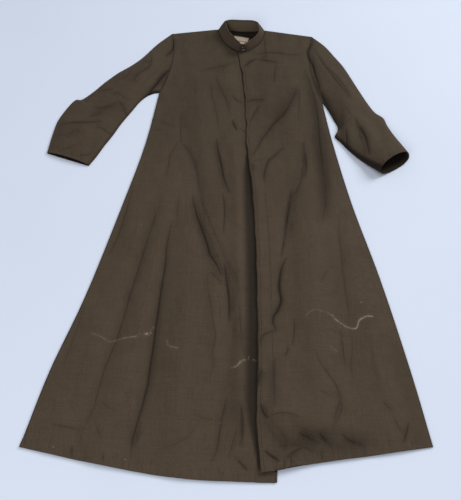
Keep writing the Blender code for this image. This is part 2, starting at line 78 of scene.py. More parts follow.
# The neck, the shoulders, the armholes and the side seams
NECK_RIGHT = (-7.4, 0.0)
NECK_LEFT = (7.3, 0.0)
NECK_FRONT_RIGHT = ((-0.9, -9.7), (-2.1, -9.1), (-4.0, -7.3), (-5.9, -4.6), (-6.9, -2.0),
                    NECK_RIGHT)
NECK_FRONT_LEFT = ((2.5, -9.4), (4.9, -7.0), (6.4, -4.4), (7.1, -1.9), NECK_LEFT)
NECK_MIDDLE = ((-0.9, -9.7), (0.9, -9.95), (2.5, -9.4))
NECK_BACK = (NECK_RIGHT, (0.0, -0.6), NECK_LEFT)
SHOULDER_RIGHT = (-21.6, -2.5)
SHOULDER_LEFT = (21.9, -2.4)
ARMHOLE_RIGHT = (SHOULDER_RIGHT, (-18.6, -14.0), (-23.3, -27.3))
ARMHOLE_LEFT = (SHOULDER_LEFT, (18.7, -13.5), (24.1, -29.8))
SIDE_RIGHT = ((-23.3, -27.3), (-25.6, -47.2), (-29.6, -67.8), (-35.5, -94.9), (-41.0, -114.7),
              (-44.3, -130.6))
SIDE_LEFT = ((24.1, -29.8), (26.6, -45.5), (30.7, -65.9), (36.4, -88.4), (41.4, -111.9),
             (44.6, -129.6))

# The left front's free edge, the underlap beneath it, and the hems
FRONT_EDGE = ((-0.9, -9.7), (0.6, -19.1), (2.2, -35.0), (2.7, -47.9), (4.6, -63.3),
              (5.8, -83.5), (6.5, -105.4), (6.5, -124.0), (7.5, -136.5))
UNDERLAP = 3.4
HEM_LEFT = ((10.9, -135.9), (20.1, -133.9), (33.1, -131.7), (44.6, -129.6))
HEM_RIGHT_STITCHES = ((7.5, -136.5), (-9.6, -136.2), (-26.9, -133.9), (-44.3, -130.6))
HEM_RIGHT = ((7.5, -138.4), (-9.6, -138.1), (-26.9, -135.8), (-44.8, -132.5))
HEM_UNDERLAP_END = (10.9, -138.3)
HEM_BACK = ((45.0, -130.3), (33.1, -131.3), (20.1, -133.4), (9.0, -135.9), (-2.0, -137.4),
            (-12.0, -137.5), (-26.9, -135.6), (-45.2, -133.1))
FRONT_LIFT = 0.55
EDGE_RISE = 0.75
EDGE_RISE_FROM = (40.0, 54.0)
EDGE_STITCH = 0.75
BACK_INSET = 0.12

# Where the cloth turned in at hems and edges ends, between two distances from them
TURNING = (3.4, 3.8)

# Tables of paths. A row holds the x and y of its path's points in turn, and then its sizes:
# lengths in millimetres, and shares in tenths.

# The broad folds of the solids. Sizes: half width, height
FOLDS_RIGHT = (
    (-175, -580, -215, -960, -255, -1340, 32, 7.5),
    (-185, -500, -242, -880, -320, -1340, 22, -5),
    (-161, -720, -178, -1040, -205, -1350, 22, -5.5),
    (-105, -740, -115, -1040, -105, -1370, 34, 8.5),
    (-165, -360, -124, -510, -83, -706, 24, -4.5),
    (-123, -610, -74, -777, -31, -900, 24, -4.5),
    (-20, -840, -6, -1020, -12, -1260, 22, -5),
    (-62, -420, -46, -532, -21, -640, 22, -4),
    (-125, -185, -60, -161, -13, -135, 18, -2.5),
    (-270, -600, -315, -950, -380, -1310, 36, 5),
    (-110, -260, -100, -420, -90, -560, 34, 4.5),
)
FOLDS_LEFT = (
    (202, -190, 232, -500, 216, -720, 26, -5.5),
    (109, -360, 78, -420, 41, -520, 24, -5),
    (144, -610, 129, -820, 107, -1040, 24, -5.5),
    (267, -710, 269, -950, 280, -1190, 24, -5),
    (185, -500, 195, -860, 205, -1300, 36, 8.5),
    (330, -780, 355, -1040, 385, -1280, 34, 6),
    (88, -580, 90, -920, 94, -1180, 26, 4.5),
    (135, -200, 145, -340, 155, -480, 34, 4.5),
    (130, -1275, 220, -1286, 310, -1290, 20, -4),
)
FOLDS_SLEEVE_RIGHT = (
    (-209, -132, -238, -203, -280, -286, 18, -8),
    (-290, -95, -280, -170, -310, -260, 26, 6),
    (-415, -330, -388, -316, -356, -290, 18, -5.5),
    (-495, -375, -450, -374, -390, -370, 18, -5),
    (-480, -425, -435, -440, -390, -460, 20, 4),
)
FOLDS_SLEEVE_LEFT = (
    (225, -60, 270, -135, 320, -240, 22, -4),
    (330, -240, 310, -310, 300, -380, 26, 5),
    (354, -335, 388, -400, 400, -465, 20, -7),
    (328, -385, 336, -430, 350, -475, 18, -5),
)

# The creases in the cloth, each with painted shade along it. Sizes: how far the crease and its
# painted shade reach to the right and to the left of its path, and its depth, which sets the height
# and how dark the painted shade is
CREASES_RIGHT = (
    (-165, -346, -157, -461, -139, -482, -113, -538, -102, -589, -91, -648, -80, -712, -73, -743,
     4, 6, 2),
    (-115, -642, -101, -700, -83, -752, -68, -795, -59, -827, -42, -853, -26, -892, 10, 8, 5.5),
    (-59, -874, -41, -893, -23, -912, 6, 10, 2),
    (-60, -444, -53, -490, -43, -535, -33, -586, -17, -636, 8, 4, 4.5),
    (-36, -630, -29, -675, -27, -723, -28, -766, 4, 6, 2.5),
    (-23, -849, -13, -912, -7, -956, -5, -1017, 4, 6, 4),
    (-33, -778, -24, -826, -5, -863, 11, -900, 20, -947, 4, 4, 1),
    (-161, -730, -169, -798, -169, -854, -172, -909, -175, -964, -177, -1020, -179, -1080, -182,
     -1130, -184, -1178, -191, -1225, -198, -1262, -204, -1291, -205, -1317, -204, -1348, 6, 6,
     4.5),
    (-195, -668, -210, -732, -219, -781, -227, -827, -236, -885, -246, -936, -253, -983, -259,
     -1031, -272, -1088, -286, -1140, -292, -1184, -294, -1217, -306, -1259, -319, -1293, -320,
     -1330, 8, 6, 2),
    (-151, -660, -150, -708, -147, -755, 6, 6, 1.5),
    (-62, -868, -59, -930, -49, -973, -42, -1021, -34, -1052, -41, -1088, -37, -1127, -47, -1171,
     10, 4, 1.5),
    (-5, -1015, 13, -1040, 28, -1073, 35, -1103, 8, 16, 2),
    (18, -966, 22, -1019, 30, -1060, 4, 4, 1.5),
    (-5, -1198, -10, -1235, -16, -1272, -20, -1314, -32, -1348, 6, 6, 2.5),
    (26, -1209, 32, -1241, 33, -1275, 31, -1312, 4, 4, 3),
    (19, -1275, 12, -1308, 4, -1339, 3, 4, 1.5),
    (15, -1330, 32, -1346, 47, -1362, 4, 4, 3),
    (-83, -1240, -60, -1248, -32, -1254, -12, -1258, 4, 6, 1),
    (-62, -1255, -76, -1283, -92, -1299, -121, -1315, -149, -1322, 10, 6, 1),
    (-388, -1273, -347, -1280, -318, -1286, 6, 4, 1.5),
    (-285, -1217, -263, -1235, -240, -1243, 6, 6, 1),
    (-294, -1254, -283, -1283, -269, -1309, 4, 4, 1),
    (-181, -1277, -192, -1300, -199, -1319, 14, 4, 2),
    (-125, -193, -93, -175, -49, -161, -13, -139, 10, 8, 2),
    (-87, -225, -78, -296, -64, -350, -56, -418, 8, 6, 1.5),
    (-73, -208, -53, -264, -37, -303, -24, -357, 8, 6, 2),
    (-24, -275, -9, -298, 15, -305, 6, 6, 2),
    (-18, -375, -12, -394, -2, -416, 6, 6, 4),
    (-227, -386, -204, -397, -175, -407, 6, 6, 1),
    (-163, -454, -174, -487, -184, -509, -186, -551, -188, -588, 4, 4, 1.5),
    (-275, -608, -280, -664, -296, -775, -316, -841, 6, 8, 2.2),
    (-381, -1134, -367, -1060, -353, -975, 8, 8, 1.2),
    (17, -1035, 24, -1207, 21, -1340, 26, 30, 1.2),
    (-156, -468, -116, -541, -84, -671, -23, -832, 20, -944, 5, 12, 1.4),
)
CREASES_LEFT = (
    (172, -232, 159, -281, 141, -328, 121, -363, 101, -383, 82, -417, 65, -450, 52, -483, 39, -512,
     8, 6, 3.5),
    (129, -470, 107, -499, 88, -521, 80, -542, 75, -569, 75, -600, 6, 6, 3),
    (39, -526, 63, -522, 88, -514, 4, 4, 1),
    (39, -536, 58, -553, 16, 6, 2.5),
    (182, -450, 186, -500, 188, -538, 184, -586, 8, 4, 3.5),
    (47, -124, 77, -136, 113, -147, 6, 6, 3),
    (11, -163, 32, -137, 50, -124, 6, 6, 4),
    (104, -152, 104, -185, 98, -231, 4, 6, 2),
    (28, -108, 83, -101, 156, -108, 189, -98, 6, 6, 2),
    (18, -305, 43, -296, 75, -295, 8, 6, 3),
    (33, -381, 47, -343, 61, -315, 6, 4, 2.5),
    (174, -248, 173, -312, 169, -377, 3, 4, 1.5),
    (188, -158, 204, -211, 217, -279, 226, -360, 229, -452, 234, -544, 239, -637, 225, -727, 14, 8,
     4.5),
    (147, -617, 141, -673, 133, -730, 127, -782, 119, -833, 4, 8, 4.5),
    (134, -827, 124, -850, 117, -879, 114, -919, 119, -952, 109, -982, 97, -1003, 104, -1024, 107,
     -1042, 6, 6, 5.5),
    (107, -1034, 86, -1040, 72, -1054, 70, -1077, 3, 6, 2.5),
    (149, -996, 149, -1033, 144, -1074, 4, 4, 2),
    (134, -1072, 132, -1087, 123, -1102, 3, 4, 2),
    (268, -694, 267, -762, 270, -810, 272, -868, 276, -930, 279, -979, 281, -1024, 6, 6, 1.5),
    (257, -1022, 262, -1065, 264, -1120, 8, 4, 2),
    (283, -1026, 285, -1067, 278, -1112, 282, -1172, 4, 6, 1),
    (197, -1085, 210, -1117, 229, -1145, 244, -1171, 249, -1195, 253, -1215, 243, -1238, 228,
     -1266, 4, 6, 2),
    (196, -1175, 223, -1188, 247, -1197, 8, 6, 1),
    (71, -1212, 80, -1235, 91, -1246, 4, 6, 4),
    (91, -1246, 104, -1236, 124, -1233, 142, -1235, 159, -1241, 8, 4, 2),
    (74, -1239, 87, -1259, 100, -1281, 115, -1298, 4, 6, 1),
    (96, -1248, 113, -1270, 126, -1287, 134, -1309, 4, 8, 1),
    (79, -1317, 96, -1329, 115, -1341, 4, 4, 4),
    (162, -1310, 145, -1319, 128, -1335, 3, 6, 3),
    (154, -1275, 178, -1285, 201, -1298, 10, 8, 4),
    (198, -1271, 212, -1289, 227, -1303, 4, 8, 4.5),
    (105, -1286, 150, -1290, 200, -1294, 260, -1299, 330, -1296, 22, 17, 3.6),
    (140, -1254, 175, -1269, 210, -1276, 250, -1274, 9, 15, 1.6),
    (110, -1310, 135, -1304, 164, -1306, 189, -1319, 5, 9, 2.2),
    (246, -1272, 264, -1287, 281, -1293, 304, -1299, 6, 12, 3.5),
    (77, -1133, 66, -1153, 64, -1175, 16, 10, 5.5),
    (93, -1108, 93, -1167, 93, -1225, 4, 16, 1),
    (104, -1096, 102, -1157, 104, -1225, 12, 8, 2.5),
    (342, -1198, 363, -1221, 6, 4, 1.5),
    (364, -1234, 373, -1254, 384, -1272, 4, 4, 1.5),
    (398, -1242, 391, -1267, 382, -1292, 6, 4, 3),
    (235, -864, 214, -904, 6, 4, 1.5),
    (231, -392, 235, -517, 237, -619, 246, -718, 20, 16, 2.4),
    (171, -242, 121, -331, 96, -381, 20, 16, 2),
    (243, -731, 265, -861, 268, -993, 22, 5, 1.6),
    (353, -1025, 393, -1153, 421, -1291, 14, 20, 1.8),
    (64, -1213, 93, -1273, 136, -1326, 16, 16, 2),
    (254, -1188, 231, -1249, 6, 6, 1.8),
    (187, -459, 171, -598, 138, -665, 127, -780, 10, 8, 1.8),
)
CREASES_SLEEVE_RIGHT = (
    (-203, -141, -206, -175, -220, -192, -235, -217, -247, -246, -260, -271, -269, -295, -279,
     -315, 6, 5, 7.5),
    (-216, -200, -219, -237, -222, -269, -223, -297, 6, 5, 6.5),
    (-297, -165, -279, -165, -266, -173, 6, 5, 2.1),
    (-270, -130, -266, -168, -273, -190, -287, -207, -303, -223, -309, -252, 6, 5, 2.5),
    (-323, -195, -333, -220, -352, -233, 6, 5, 1.5),
    (-413, -284, -390, -279, -367, -278, 6, 5, 1.7),
    (-373, -298, -351, -293, -332, -309, -313, -316, 6, 5, 1.3),
    (-353, -321, -334, -336, -326, -355, -310, -377, 6, 5, 2.1),
    (-416, -350, -392, -353, -373, -345, -349, -329, 6, 5, 2.1),
    (-428, -389, -409, -377, -387, -372, 6, 5, 2.1),
    (-504, -410, -473, -409, -439, -411, -411, -407, -383, -402, 6, 5, 2.9),
    (-401, -421, -377, -428, -362, -438, -345, -438, 6, 5, 1.9),
    (-493, -511, -470, -500, -439, -485, 6, 5, 1.3),
    (-444, -527, -415, -519, -387, -504, 6, 5, 1.3),
    (-421, -288, -433, -308, -444, -332, 6, 5, 2.1),
    (-512, -443, -491, -454, -468, -457, 6, 5, 0.8),
    (-419, -386, -380, -358, -333, -342, 16, 16, 1.6),
    (-475, -466, -457, -440, -438, -450, 9, 9, 1.4),
)
CREASES_SLEEVE_LEFT = (
    (222, -77, 233, -107, 244, -133, 255, -162, 269, -190, 282, -219, 296, -246, 309, -274, 316,
     -301, 6, 5, 2.5),
    (255, -158, 272, -182, 289, -206, 302, -234, 315, -270, 322, -297, 6, 5, 2.1),
    (303, -328, 321, -366, 6, 5, 1.3),
    (282, -408, 300, -385, 324, -369, 6, 5, 1.5),
    (329, -366, 336, -395, 346, -417, 353, -442, 356, -471, 359, -509, 6, 5, 4.2),
    (336, -391, 339, -432, 343, -461, 347, -485, 345, -517, 6, 5, 1.2),
    (302, -407, 303, -444, 304, -469, 311, -490, 6, 5, 3.8),
    (237, -256, 247, -295, 260, -334, 276, -371, 282, -412, 7, 8, 7.5),
)

# The folds that lie along the two armhole seams, as creases
ARMHOLE_FOLDS = (
    (-208, -43, -208, -87, -215, -109, -229, -131, 6, 6, 4.5),
    (219, -29, 218, -56, 205, -78, 204, -108, 213, -138, 218, -155, 223, -188, 231, -228, 236,
     -264, 4, 6, 5.5),
)

# Soft swells between the creases. Sizes: half width, height
SWELLS_RIGHT = (
    (-104, -516, -81, -477, -60, -447, 8, 1),
    (-110, -959, -108, -1065, -110, -1164, -114, -1246, 12, 1.4),
    (-261, -1197, -271, -1262, -276, -1320, 12, 1.4),
)
SWELLS_LEFT = (
    (132, -1313, 169, -1301, 207, -1310, 7, 1.8),
    (223, -1286, 244, -1296, 272, -1310, 6, 1.4),
    (167, -808, 169, -950, 176, -1068, 13, 1.4),
    (323, -1025, 343, -1130, 354, -1219, 12, 1.4),
)

# The valley beside the left front's free edge and its painted shade, in centimetres. Columns: y,
# width
HOLLOW = ((-9.0, 0.28), (-43.0, 0.25), (-45.5, 0.8), (-48.5, 1.4), (-52.6, 2.3), (-63.0, 2.8),
          (-75.0, 2.9), (-95.6, 2.9), (-106.0, 3.0), (-118.5, 2.6), (-123.0, 2.1),
          (-127.7, 1.3), (-132.4, 0.7), (-137.0, 0.3))
HOLLOW_BANK = 0.60
# Depths between which the painted shade of the valley fades out at the hem
HOLLOW_SHADE_END = (135.4, 136.2)

# Creases of the back, on the side that lies on the floor, and three under the neck
CREASES_BACK = (
    (-140, -400, -170, -660, -200, -980, -240, -1280, 6, 9, 3),
    (-40, -280, -50, -600, -70, -920, 8, 5, 2),
    (50, -460, 80, -760, 85, -1080, 100, -1320, 5, 8, 3),
    (160, -340, 200, -620, 250, -940, 290, -1240, 7, 5, 3.5),
    (-120, -120, 0, -150, 120, -110, 6, 6, 2),
    (-300, -1000, -200, -1030, -110, -1010, 5, 6, 2),
    (-330, -1120, -310, -1200, -315, -1300, 6, 4, 2.5),
    (220, -400, 120, -470, 20, -490, 5, 5, 2),
    (-8, -9, 10, -13, 32, -13, 48, -14, 3, 3, 6),
    (4, -22, 22, -22, 39, -29, 3, 3, 7),
    (18, -33, 32, -35, 45, -43, 3, 3, 6),
)

# The pale scuffs across the skirt. Size: how strong each one is
SCUFFS_RIGHT = (
    (-327, -1052, -306, -1062, -281, -1072, -270, -1070, -262, -1067, 3),
    (-262, -1067, -229, -1063, -216, -1060, 4.2),
    (-204, -1053, -192, -1051, 9.5),
    (-190, -1042, -181, -1030, 2.5),
    (-148, -1063, -144, -1080, -132, -1086, -116, -1089, 3.4),
    (3, -1131, 17, -1126, 30, -1112, 38, -1107, 7.5),
    (54, -1104, 62, -1111, 3.5),
)
SCUFFS_LEFT = (
    (176, -997, 193, -980, 224, -982, 238, -987, 2.5),
    (238, -987, 263, -1009, 286, -1021, 6.2),
    (286, -1021, 297, -1019, 303, -1002, 318, -989, 340, -990, 10),
    (230, -1070, 250, -1082, 1.6),
)

# What each front carries: creases, swells, scuffs, and the seeds of its puckers and its drift
FRONTS = {"right": (CREASES_RIGHT, SWELLS_RIGHT, SCUFFS_RIGHT, 4, 11),
          "left": (CREASES_LEFT, SWELLS_LEFT, SCUFFS_LEFT, 9, 23)}

# Specks of lint, in centimetres: x, y, size. The rings of each: radius, height. How near the
# cloth must be
LINT_REACH = 1.0
LINT = ((-24.0, -74.4, 0.22), (26.8, -68.3, 0.24), (31.1, -95.2, 0.26), (-37.3, -132.4, 0.26),
        (-21.5, -134.6, 0.24), (-19.6, -105.0, 0.40), (9.6, -96.0, 0.16), (-8.0, -57.0, 0.16))
LINT_RINGS = ((0.05, 0.0), (0.8, 0.2), (1.0, 0.55), (0.7, 0.9), (0.05, 1.0))

# Rings of the sleeves, from the armhole to the cuff. Columns: outer edge x, y, inner edge
# x, y, height of the crown, and how round the ring stands
SLEEVE_RIGHT = (
    (-21.6, -2.5, -23.3, -27.3, 0.50, 0.0),
    (-25.6, -7.2, -24.9, -27.6, 1.20, 0.0),
    (-29.2, -12.7, -26.9, -28.9, 1.70, 0.0),
    (-32.7, -16.7, -28.8, -31.3, 1.80, 0.0),
    (-36.2, -19.8, -30.5, -34.6, 1.70, 0.0),
    (-39.5, -23.6, -32.0, -37.4, 1.80, 0.0),
    (-42.8, -28.0, -33.3, -40.0, 1.90, 0.0),
    (-45.6, -31.0, -34.3, -42.4, 2.10, 0.0),
    (-47.5, -31.3, -35.0, -44.0, 2.10, 0.0),
    (-49.4, -34.6, -35.9, -45.9, 2.00, 0.0),
    (-51.2, -39.3, -37.0, -48.1, 1.70, 0.0),
    (-51.9, -44.6, -38.4, -51.4, 1.40, 0.05),
    (-52.3, -50.9, -40.2, -54.9, 1.15, 0.15),
)
SLEEVE_LEFT = (
    (21.9, -2.4, 24.1, -29.8, 0.50, 0.0),
    (25.6, -6.4, 25.1, -31.4, 1.20, 0.0),
    (28.6, -11.2, 26.2, -34.0, 1.60, 0.0),
    (30.9, -15.1, 27.2, -36.5, 1.70, 0.0),
    (33.0, -20.0, 28.1, -38.9, 1.70, 0.0),
    (35.0, -24.8, 27.9, -41.0, 1.80, 0.0),
    (36.9, -29.2, 27.2, -42.6, 2.00, 0.0),
    (38.9, -33.2, 28.7, -44.6, 2.20, 0.1),
    (41.2, -35.6, 30.3, -46.8, 2.50, 0.2),
    (42.0, -38.6, 32.4, -49.4, 2.90, 0.35),
    (43.5, -42.8, 34.9, -52.0, 3.50, 0.55),
    (45.2, -46.6, 36.9, -54.0, 4.10, 0.8),
    (46.7, -50.0, 38.6, -55.6, 4.70, 1.0),
)
SLEEVE_RINGS = 150
RING_POINTS = 120

# A ring's folded edge: its height and the angle it takes up. A round ring's widest level, and
# how full its sides and its crown are
FOLDED_EDGE = 0.36
FOLD_ANGLE = 2.0 * np.pi / 28.0
ROUND_MIDDLE = 0.42
SIDE_POWER = 0.75
CROWN_POWER = 1.6
CUFF_TILT_FROM = 0.8
CUFF_TILT = 1.6

# What each sleeve is made from: rings, armhole, folds, creases, and the seed of its drift
SLEEVES = {"right": (SLEEVE_RIGHT, ARMHOLE_RIGHT, FOLDS_SLEEVE_RIGHT,
                     CREASES_SLEEVE_RIGHT + ARMHOLE_FOLDS[:1], 31),
           "left": (SLEEVE_LEFT, ARMHOLE_LEFT, FOLDS_SLEEVE_LEFT,
                    CREASES_SLEEVE_LEFT + ARMHOLE_FOLDS[1:], 37)}

# The collar: its wall, and the points of a face and of the half circle of its top edge
COLLAR_WALL = 0.22
COLLAR_FACE_POINTS = 17
COLLAR_ROLL_POINTS = 9

# The collar's upper edge, in the four stretches of its seam. Columns: x, y, height
COLLAR_TOP_LAP = ((2.2, -9.15, 3.50), (1.3, -10.0, 3.52), (-0.2, -10.15, 3.60))
COLLAR_TOP_RIGHT = ((-0.2, -10.15, 3.60), (-1.3, -8.4, 3.40), (-2.5, -6.4, 3.35),
                    (-4.1, -4.2, 3.50), (-4.8, -2.2, 3.80), (-5.2, -0.3, 4.10))
COLLAR_TOP_BACK = ((-5.2, -0.3, 4.10), (-3.4, 0.1, 4.30), (0.0, 0.0, 4.35), (3.3, 0.0, 4.30),
                   (5.0, -0.5, 4.10))
COLLAR_TOP_LEFT = ((5.0, -0.5, 4.10), (5.5, -2.0, 3.80), (5.6, -4.0, 3.50), (4.4, -6.4, 3.35),
                   (3.1, -7.9, 3.40), (2.2, -9.15, 3.50))
LAP_FADE_STEPS = 4 * FINE

# The button and its profile: share of the radius, share of the depth
BUTTON_RADIUS = 0.55
BUTTON_DEPTH = 0.30
BUTTON_SIDES = 72
BUTTON_STATION = 0.62
BUTTON_HEIGHT = 0.60
BUTTON_TIP = np.radians(14.0)
BUTTON_PROFILE = ((0.0, 0.0), (0.55, 0.0), (0.82, 0.06), (0.95, 0.22), (1.0, 0.45), (1.0, 0.68),
                  (0.97, 0.86), (0.91, 0.97), (0.84, 1.0), (0.77, 0.97), (0.70, 0.88),
                  (0.62, 0.80), (0.54, 0.76), (0.46, 0.74), (0.39, 0.73), (0.33, 0.73),
                  (0.27, 0.73), (0.21, 0.73), (0.15, 0.73), (0.09, 0.73), (0.03, 0.73))
BUTTON_RIM_ROW = 9
HOLE_FROM_MIDDLE = 0.0975
THREAD_RINGS = 13
THREAD_RADIUS = 0.032

# The two blank labels, their grid's columns and rows, and for each its middle x, y, its width,
# height and depth
RIBBON_GRID = (49, 25)
LABEL_TURN = np.radians(-12.5)
LABEL = (-0.08, -3.92, 4.8, 2.1, 0.08)
TAB = (0.37, -6.06, 2.3, 1.8, 0.08)

# The tack that closes the fly: its two ends, its half width, its rings and their points, and
# over how many rings to each side its height is evened out, and how near the cloth must be
TACK = ((0.6, -40.5), (2.4, -41.7))
TACK_WIDTH = 0.11
TACK_RINGS = 61
TACK_SIDES = 12
TACK_EVEN = 6
TACK_REACH = 0.4

# Sides of the threads and the lint, and how the flat faces that close a tube's end join the
# points of its last ring
SMALL_SIDES = 8
CAPS = {SMALL_SIDES: np.array([[0, 1, 2, 3], [0, 3, 4, 7], [4, 5, 6, 7]]),
        TACK_SIDES: np.array([[0, 1, 2, 3], [0, 3, 4, 11], [4, 5, 10, 11], [5, 6, 9, 10],
                              [6, 7, 8, 9]])}

# Finishes: threads to the metre, the weave's height in metres, and what is shared
THREADS = 1400.0
RIBBON_THREADS = 2600.0
WEAVE_HEIGHT = 0.00004
# The blacks that painted shade and dark seams are mixed towards, on the suiting and on the collar
SHADE_AND_SEAM_BLACK = (0.008, 0.006, 0.0045)
COLLAR_SHADE_BLACK = (0.010, 0.008, 0.007)
SHEEN = {"Sheen_Weight": 0.03, "Sheen_Roughness": 0.5, "Sheen_Tint": (0.80, 0.66, 0.50, 1.0)}

# The studio, in metres. Lights: name, place, size, power
LIGHTS = (("key_panel", (3.4, 2.5, 3.0), 2.4, 200.0),
          ("camera_panel", (-0.8, -2.5, 2.0), 1.2, 34.0),
          ("top_panel", (-0.6, 0.1, 3.4), 2.4, 20.0))
LIGHT_TARGET = (0.0, -0.05, 0.0)
SKY_COLOUR = (0.95, 0.97, 1.0, 1.0)
SKY_STRENGTH = 0.42
CAMERA_PLACE = (0.05143, -1.08514, 1.5525)
CAMERA_FORWARD = (-0.01740, 0.52963, -0.84805)
CAMERA_RIGHT = (0.99946, 0.03284, 0.0)
FOCAL_LENGTH = 52.054
SENSOR = 36.0
CLIP_START = 0.02
FLOOR_REACH = 6.0
FLOOR_DROP = 0.0004


# ---------------------------------------------------------------- curves and grids

def smooth(value, low, high):
    """A step from 0 to 1 between low and high, three t squared less two t cubed."""
    t = np.clip((value - low) / (high - low), 0.0, 1.0)
    return t * t * (3.0 - 2.0 * t)


def unit(vectors):
    """The same directions, each with a length of one."""
    return vectors / np.linalg.norm(vectors, axis=-1, keepdims=True)


def through(points, steps):
    """Evenly spaced points on a cubic curve that passes through the points given."""
    pts = np.array(points, dtype=float)
    ends = np.vstack([2 * pts[0] - pts[1], pts, 2 * pts[-1] - pts[-2]])
    t = np.linspace(0.0, 1.0, CURVE_STEPS, endpoint=False)[:, None]
    runs = []
    for a, b, c, d in zip(ends[:-3], ends[1:-2], ends[2:-1], ends[3:]):
        runs.append(0.5 * (2 * b + (c - a) * t + (2 * a - 5 * b + 4 * c - d) * t ** 2
                           + (3 * b - a - 3 * c + d) * t ** 3))
    fine = np.vstack(runs + [pts[-1:]])
    length = np.concatenate([[0.0], np.cumsum(np.linalg.norm(np.diff(fine, axis=0), axis=1))])
    at = np.linspace(0.0, length[-1], steps + 1)
    return np.stack([np.interp(at, length, fine[:, k]) for k in range(fine.shape[1])], axis=1)


def arc(points, u):
    """A bowed curve: the first, middle and last points weighted by the squares of 1 - u and u."""
    first, pull, last = (np.array(p, dtype=float) for p in points)
    u = np.asarray(u, dtype=float)[..., None]
    return (1 - u) ** 2 * first + 2 * u * (1 - u) * pull + u ** 2 * last


def coons(top, bottom, inner, outer):
    """A grid between four edges: across plus down, less the plane through the corners."""
    u = np.linspace(0.0, 1.0, len(top))[None, :, None]
    v = np.linspace(0.0, 1.0, len(inner))[:, None, None]
    across = (1 - v) * top[None] + v * bottom[None]
    down = (1 - u) * inner[:, None] + u * outer[:, None]
    corners = ((1 - u) * (1 - v) * top[0] + u * (1 - v) * top[-1]
               + (1 - u) * v * bottom[0] + u * v * bottom[-1])
    return across + down - corners


def rows_of(table, sizes):
    """Each row of a table in centimetres and whole shares: its path, and its last few sizes."""
    for row in table:
        row = np.array(row) / 10.0
        yield row[:-sizes], *row[-sizes:]


def near_path(x, y, path, steps=CREASE_STEPS):
    """Distance from a smooth path, above 0 to its left, and the share of it passed."""
    points = through(np.reshape(path, (-1, 2)), steps)
    nearest = np.full(x.shape, np.inf)
    side = np.ones_like(x)
    along = np.zeros_like(x)
    for k, (a, b) in enumerate(zip(points[:-1], points[1:])):
        run = b - a
        t = np.clip(((x - a[0]) * run[0] + (y - a[1]) * run[1]) / run.dot(run), 0.0, 1.0)
        dx = x - a[0] - t * run[0]
        dy = y - a[1] - t * run[1]
        distance = np.hypot(dx, dy)
        closer = distance < nearest
        nearest = np.where(closer, distance, nearest)
        side = np.where(closer, np.where(run[0] * dy - run[1] * dx >= 0.0, 1.0, -1.0), side)
        along = np.where(closer, (k + t) / steps, along)
    return nearest * side, along


def ridges(x, y, table, steps=FOLD_STEPS, end=0.04, power=0.5):
    """The sum of broad folds: height times a bell across each path, fading at its ends."""
    total = np.zeros_like(x)
    for path, half_width, height in rows_of(table, 2):
        side, along = near_path(x, y, path, steps)
        fade = np.sin(np.pi * np.clip(along, end, 1.0 - end)) ** power
        total += height * fade * np.exp(-(side / half_width) ** 2)
    return total


def creased(x, y, creases):
    """The height of the creased cloth, its painted shade, and the nearest crease's line and
    sharpness.

    Across each path the painted shade is a bell whose two halves have their own reach. The height
    is a valley where the reaches are alike, and otherwise a step, low on the side with the longer
    reach, whose top falls away again over a few centimetres. The line is the distance from the
    nearest path, and it loses its sharpness where another path is as near.
    """
    height = np.zeros_like(x)
    light = np.ones_like(x)
    line = np.full(x.shape, FAR)
    second = np.full(x.shape, FAR)
    sharp = np.zeros_like(x)
    for path, right, left, depth in rows_of(creases, 3):
        side, along = near_path(x, y, path)
        fade = np.sin(np.pi * np.clip(along, 0.0, 1.0)) ** 0.5
        reach = np.where(side > 0.0, left, right)
        light *= 1.0 - depth * fade * np.exp(-0.7 * (np.abs(side) / reach) ** 1.4)
        wide = max(left, right)
        lean = (right - left) / (right + left)
        up = side if lean > 0.0 else -side
        step = smooth(up, -1.5 * wide, 0.2) * np.exp(-np.maximum(up, 0.0) / 3.0)
        valley = np.exp(-(side / (1.1 * wide)) ** 2)
        size = 1.25 * depth * (0.4 + wide)
        height += fade * size * (1.5 * abs(lean) * step - 0.45 * (1.0 - abs(lean)) * valley)
        closer = np.abs(side) < np.abs(line)
        second = np.where(closer, np.abs(line), np.minimum(second, np.abs(side)))
        line = np.where(closer, side, line)
        sharp = np.where(closer, depth * fade * (1.0 - smooth(wide, 1.2, 1.8)), sharp)
    sharp *= smooth(second - np.abs(line), 0.0, 0.35)
    return height, 1.0 - light, line, sharp


def drift(x, y, seed, size, height):
    """Slow unevenness: a sum of waves of random direction, about size from crest to crest."""
    chance = np.random.default_rng(seed)
    total = np.zeros_like(x)
    for _ in range(DRIFT_WAVES):
        turn = chance.uniform(0.0, np.pi)
        wave = size * chance.uniform(0.7, 1.6)
        start = chance.uniform(0.0, 2.0 * np.pi)
        passed = x * np.cos(turn) + 0.45 * y * np.sin(turn)
        total += np.sin(2.0 * np.pi * passed / wave + start)
    return total * height / 3.0


def puckers(x, from_hem, seed):
    """Small upright puckers of the sewn hem: narrow bells across, fading above the hem."""
    chance = np.random.default_rng(seed)
    total = np.zeros_like(x)
    at = x.min() + chance.uniform(0.5, 2.0)
    while at < x.max():
        height = chance.uniform(0.05, 0.17) * chance.choice((-1.0, -1.0, 1.0))
        reach = chance.uniform(1.8, 4.4)
        width = chance.uniform(0.40, 0.70)
        slant = chance.uniform(-0.12, 0.12)
        across = (x - at - slant * from_hem) / width
        rise = smooth(from_hem, 0.1, 0.5) * (1.0 - smooth(from_hem, 0.45 * reach, reach))
        total += height * rise * np.exp(-across ** 2)
        at += chance.uniform(1.3, 2.7)
    return total


def soft_floor(height, least=0.0, ease=0.05):
    """The larger of a height and the least one, with a rounded corner between them."""
    over = height - least
    return least + 0.5 * (over + np.sqrt(over ** 2 + ease ** 2))


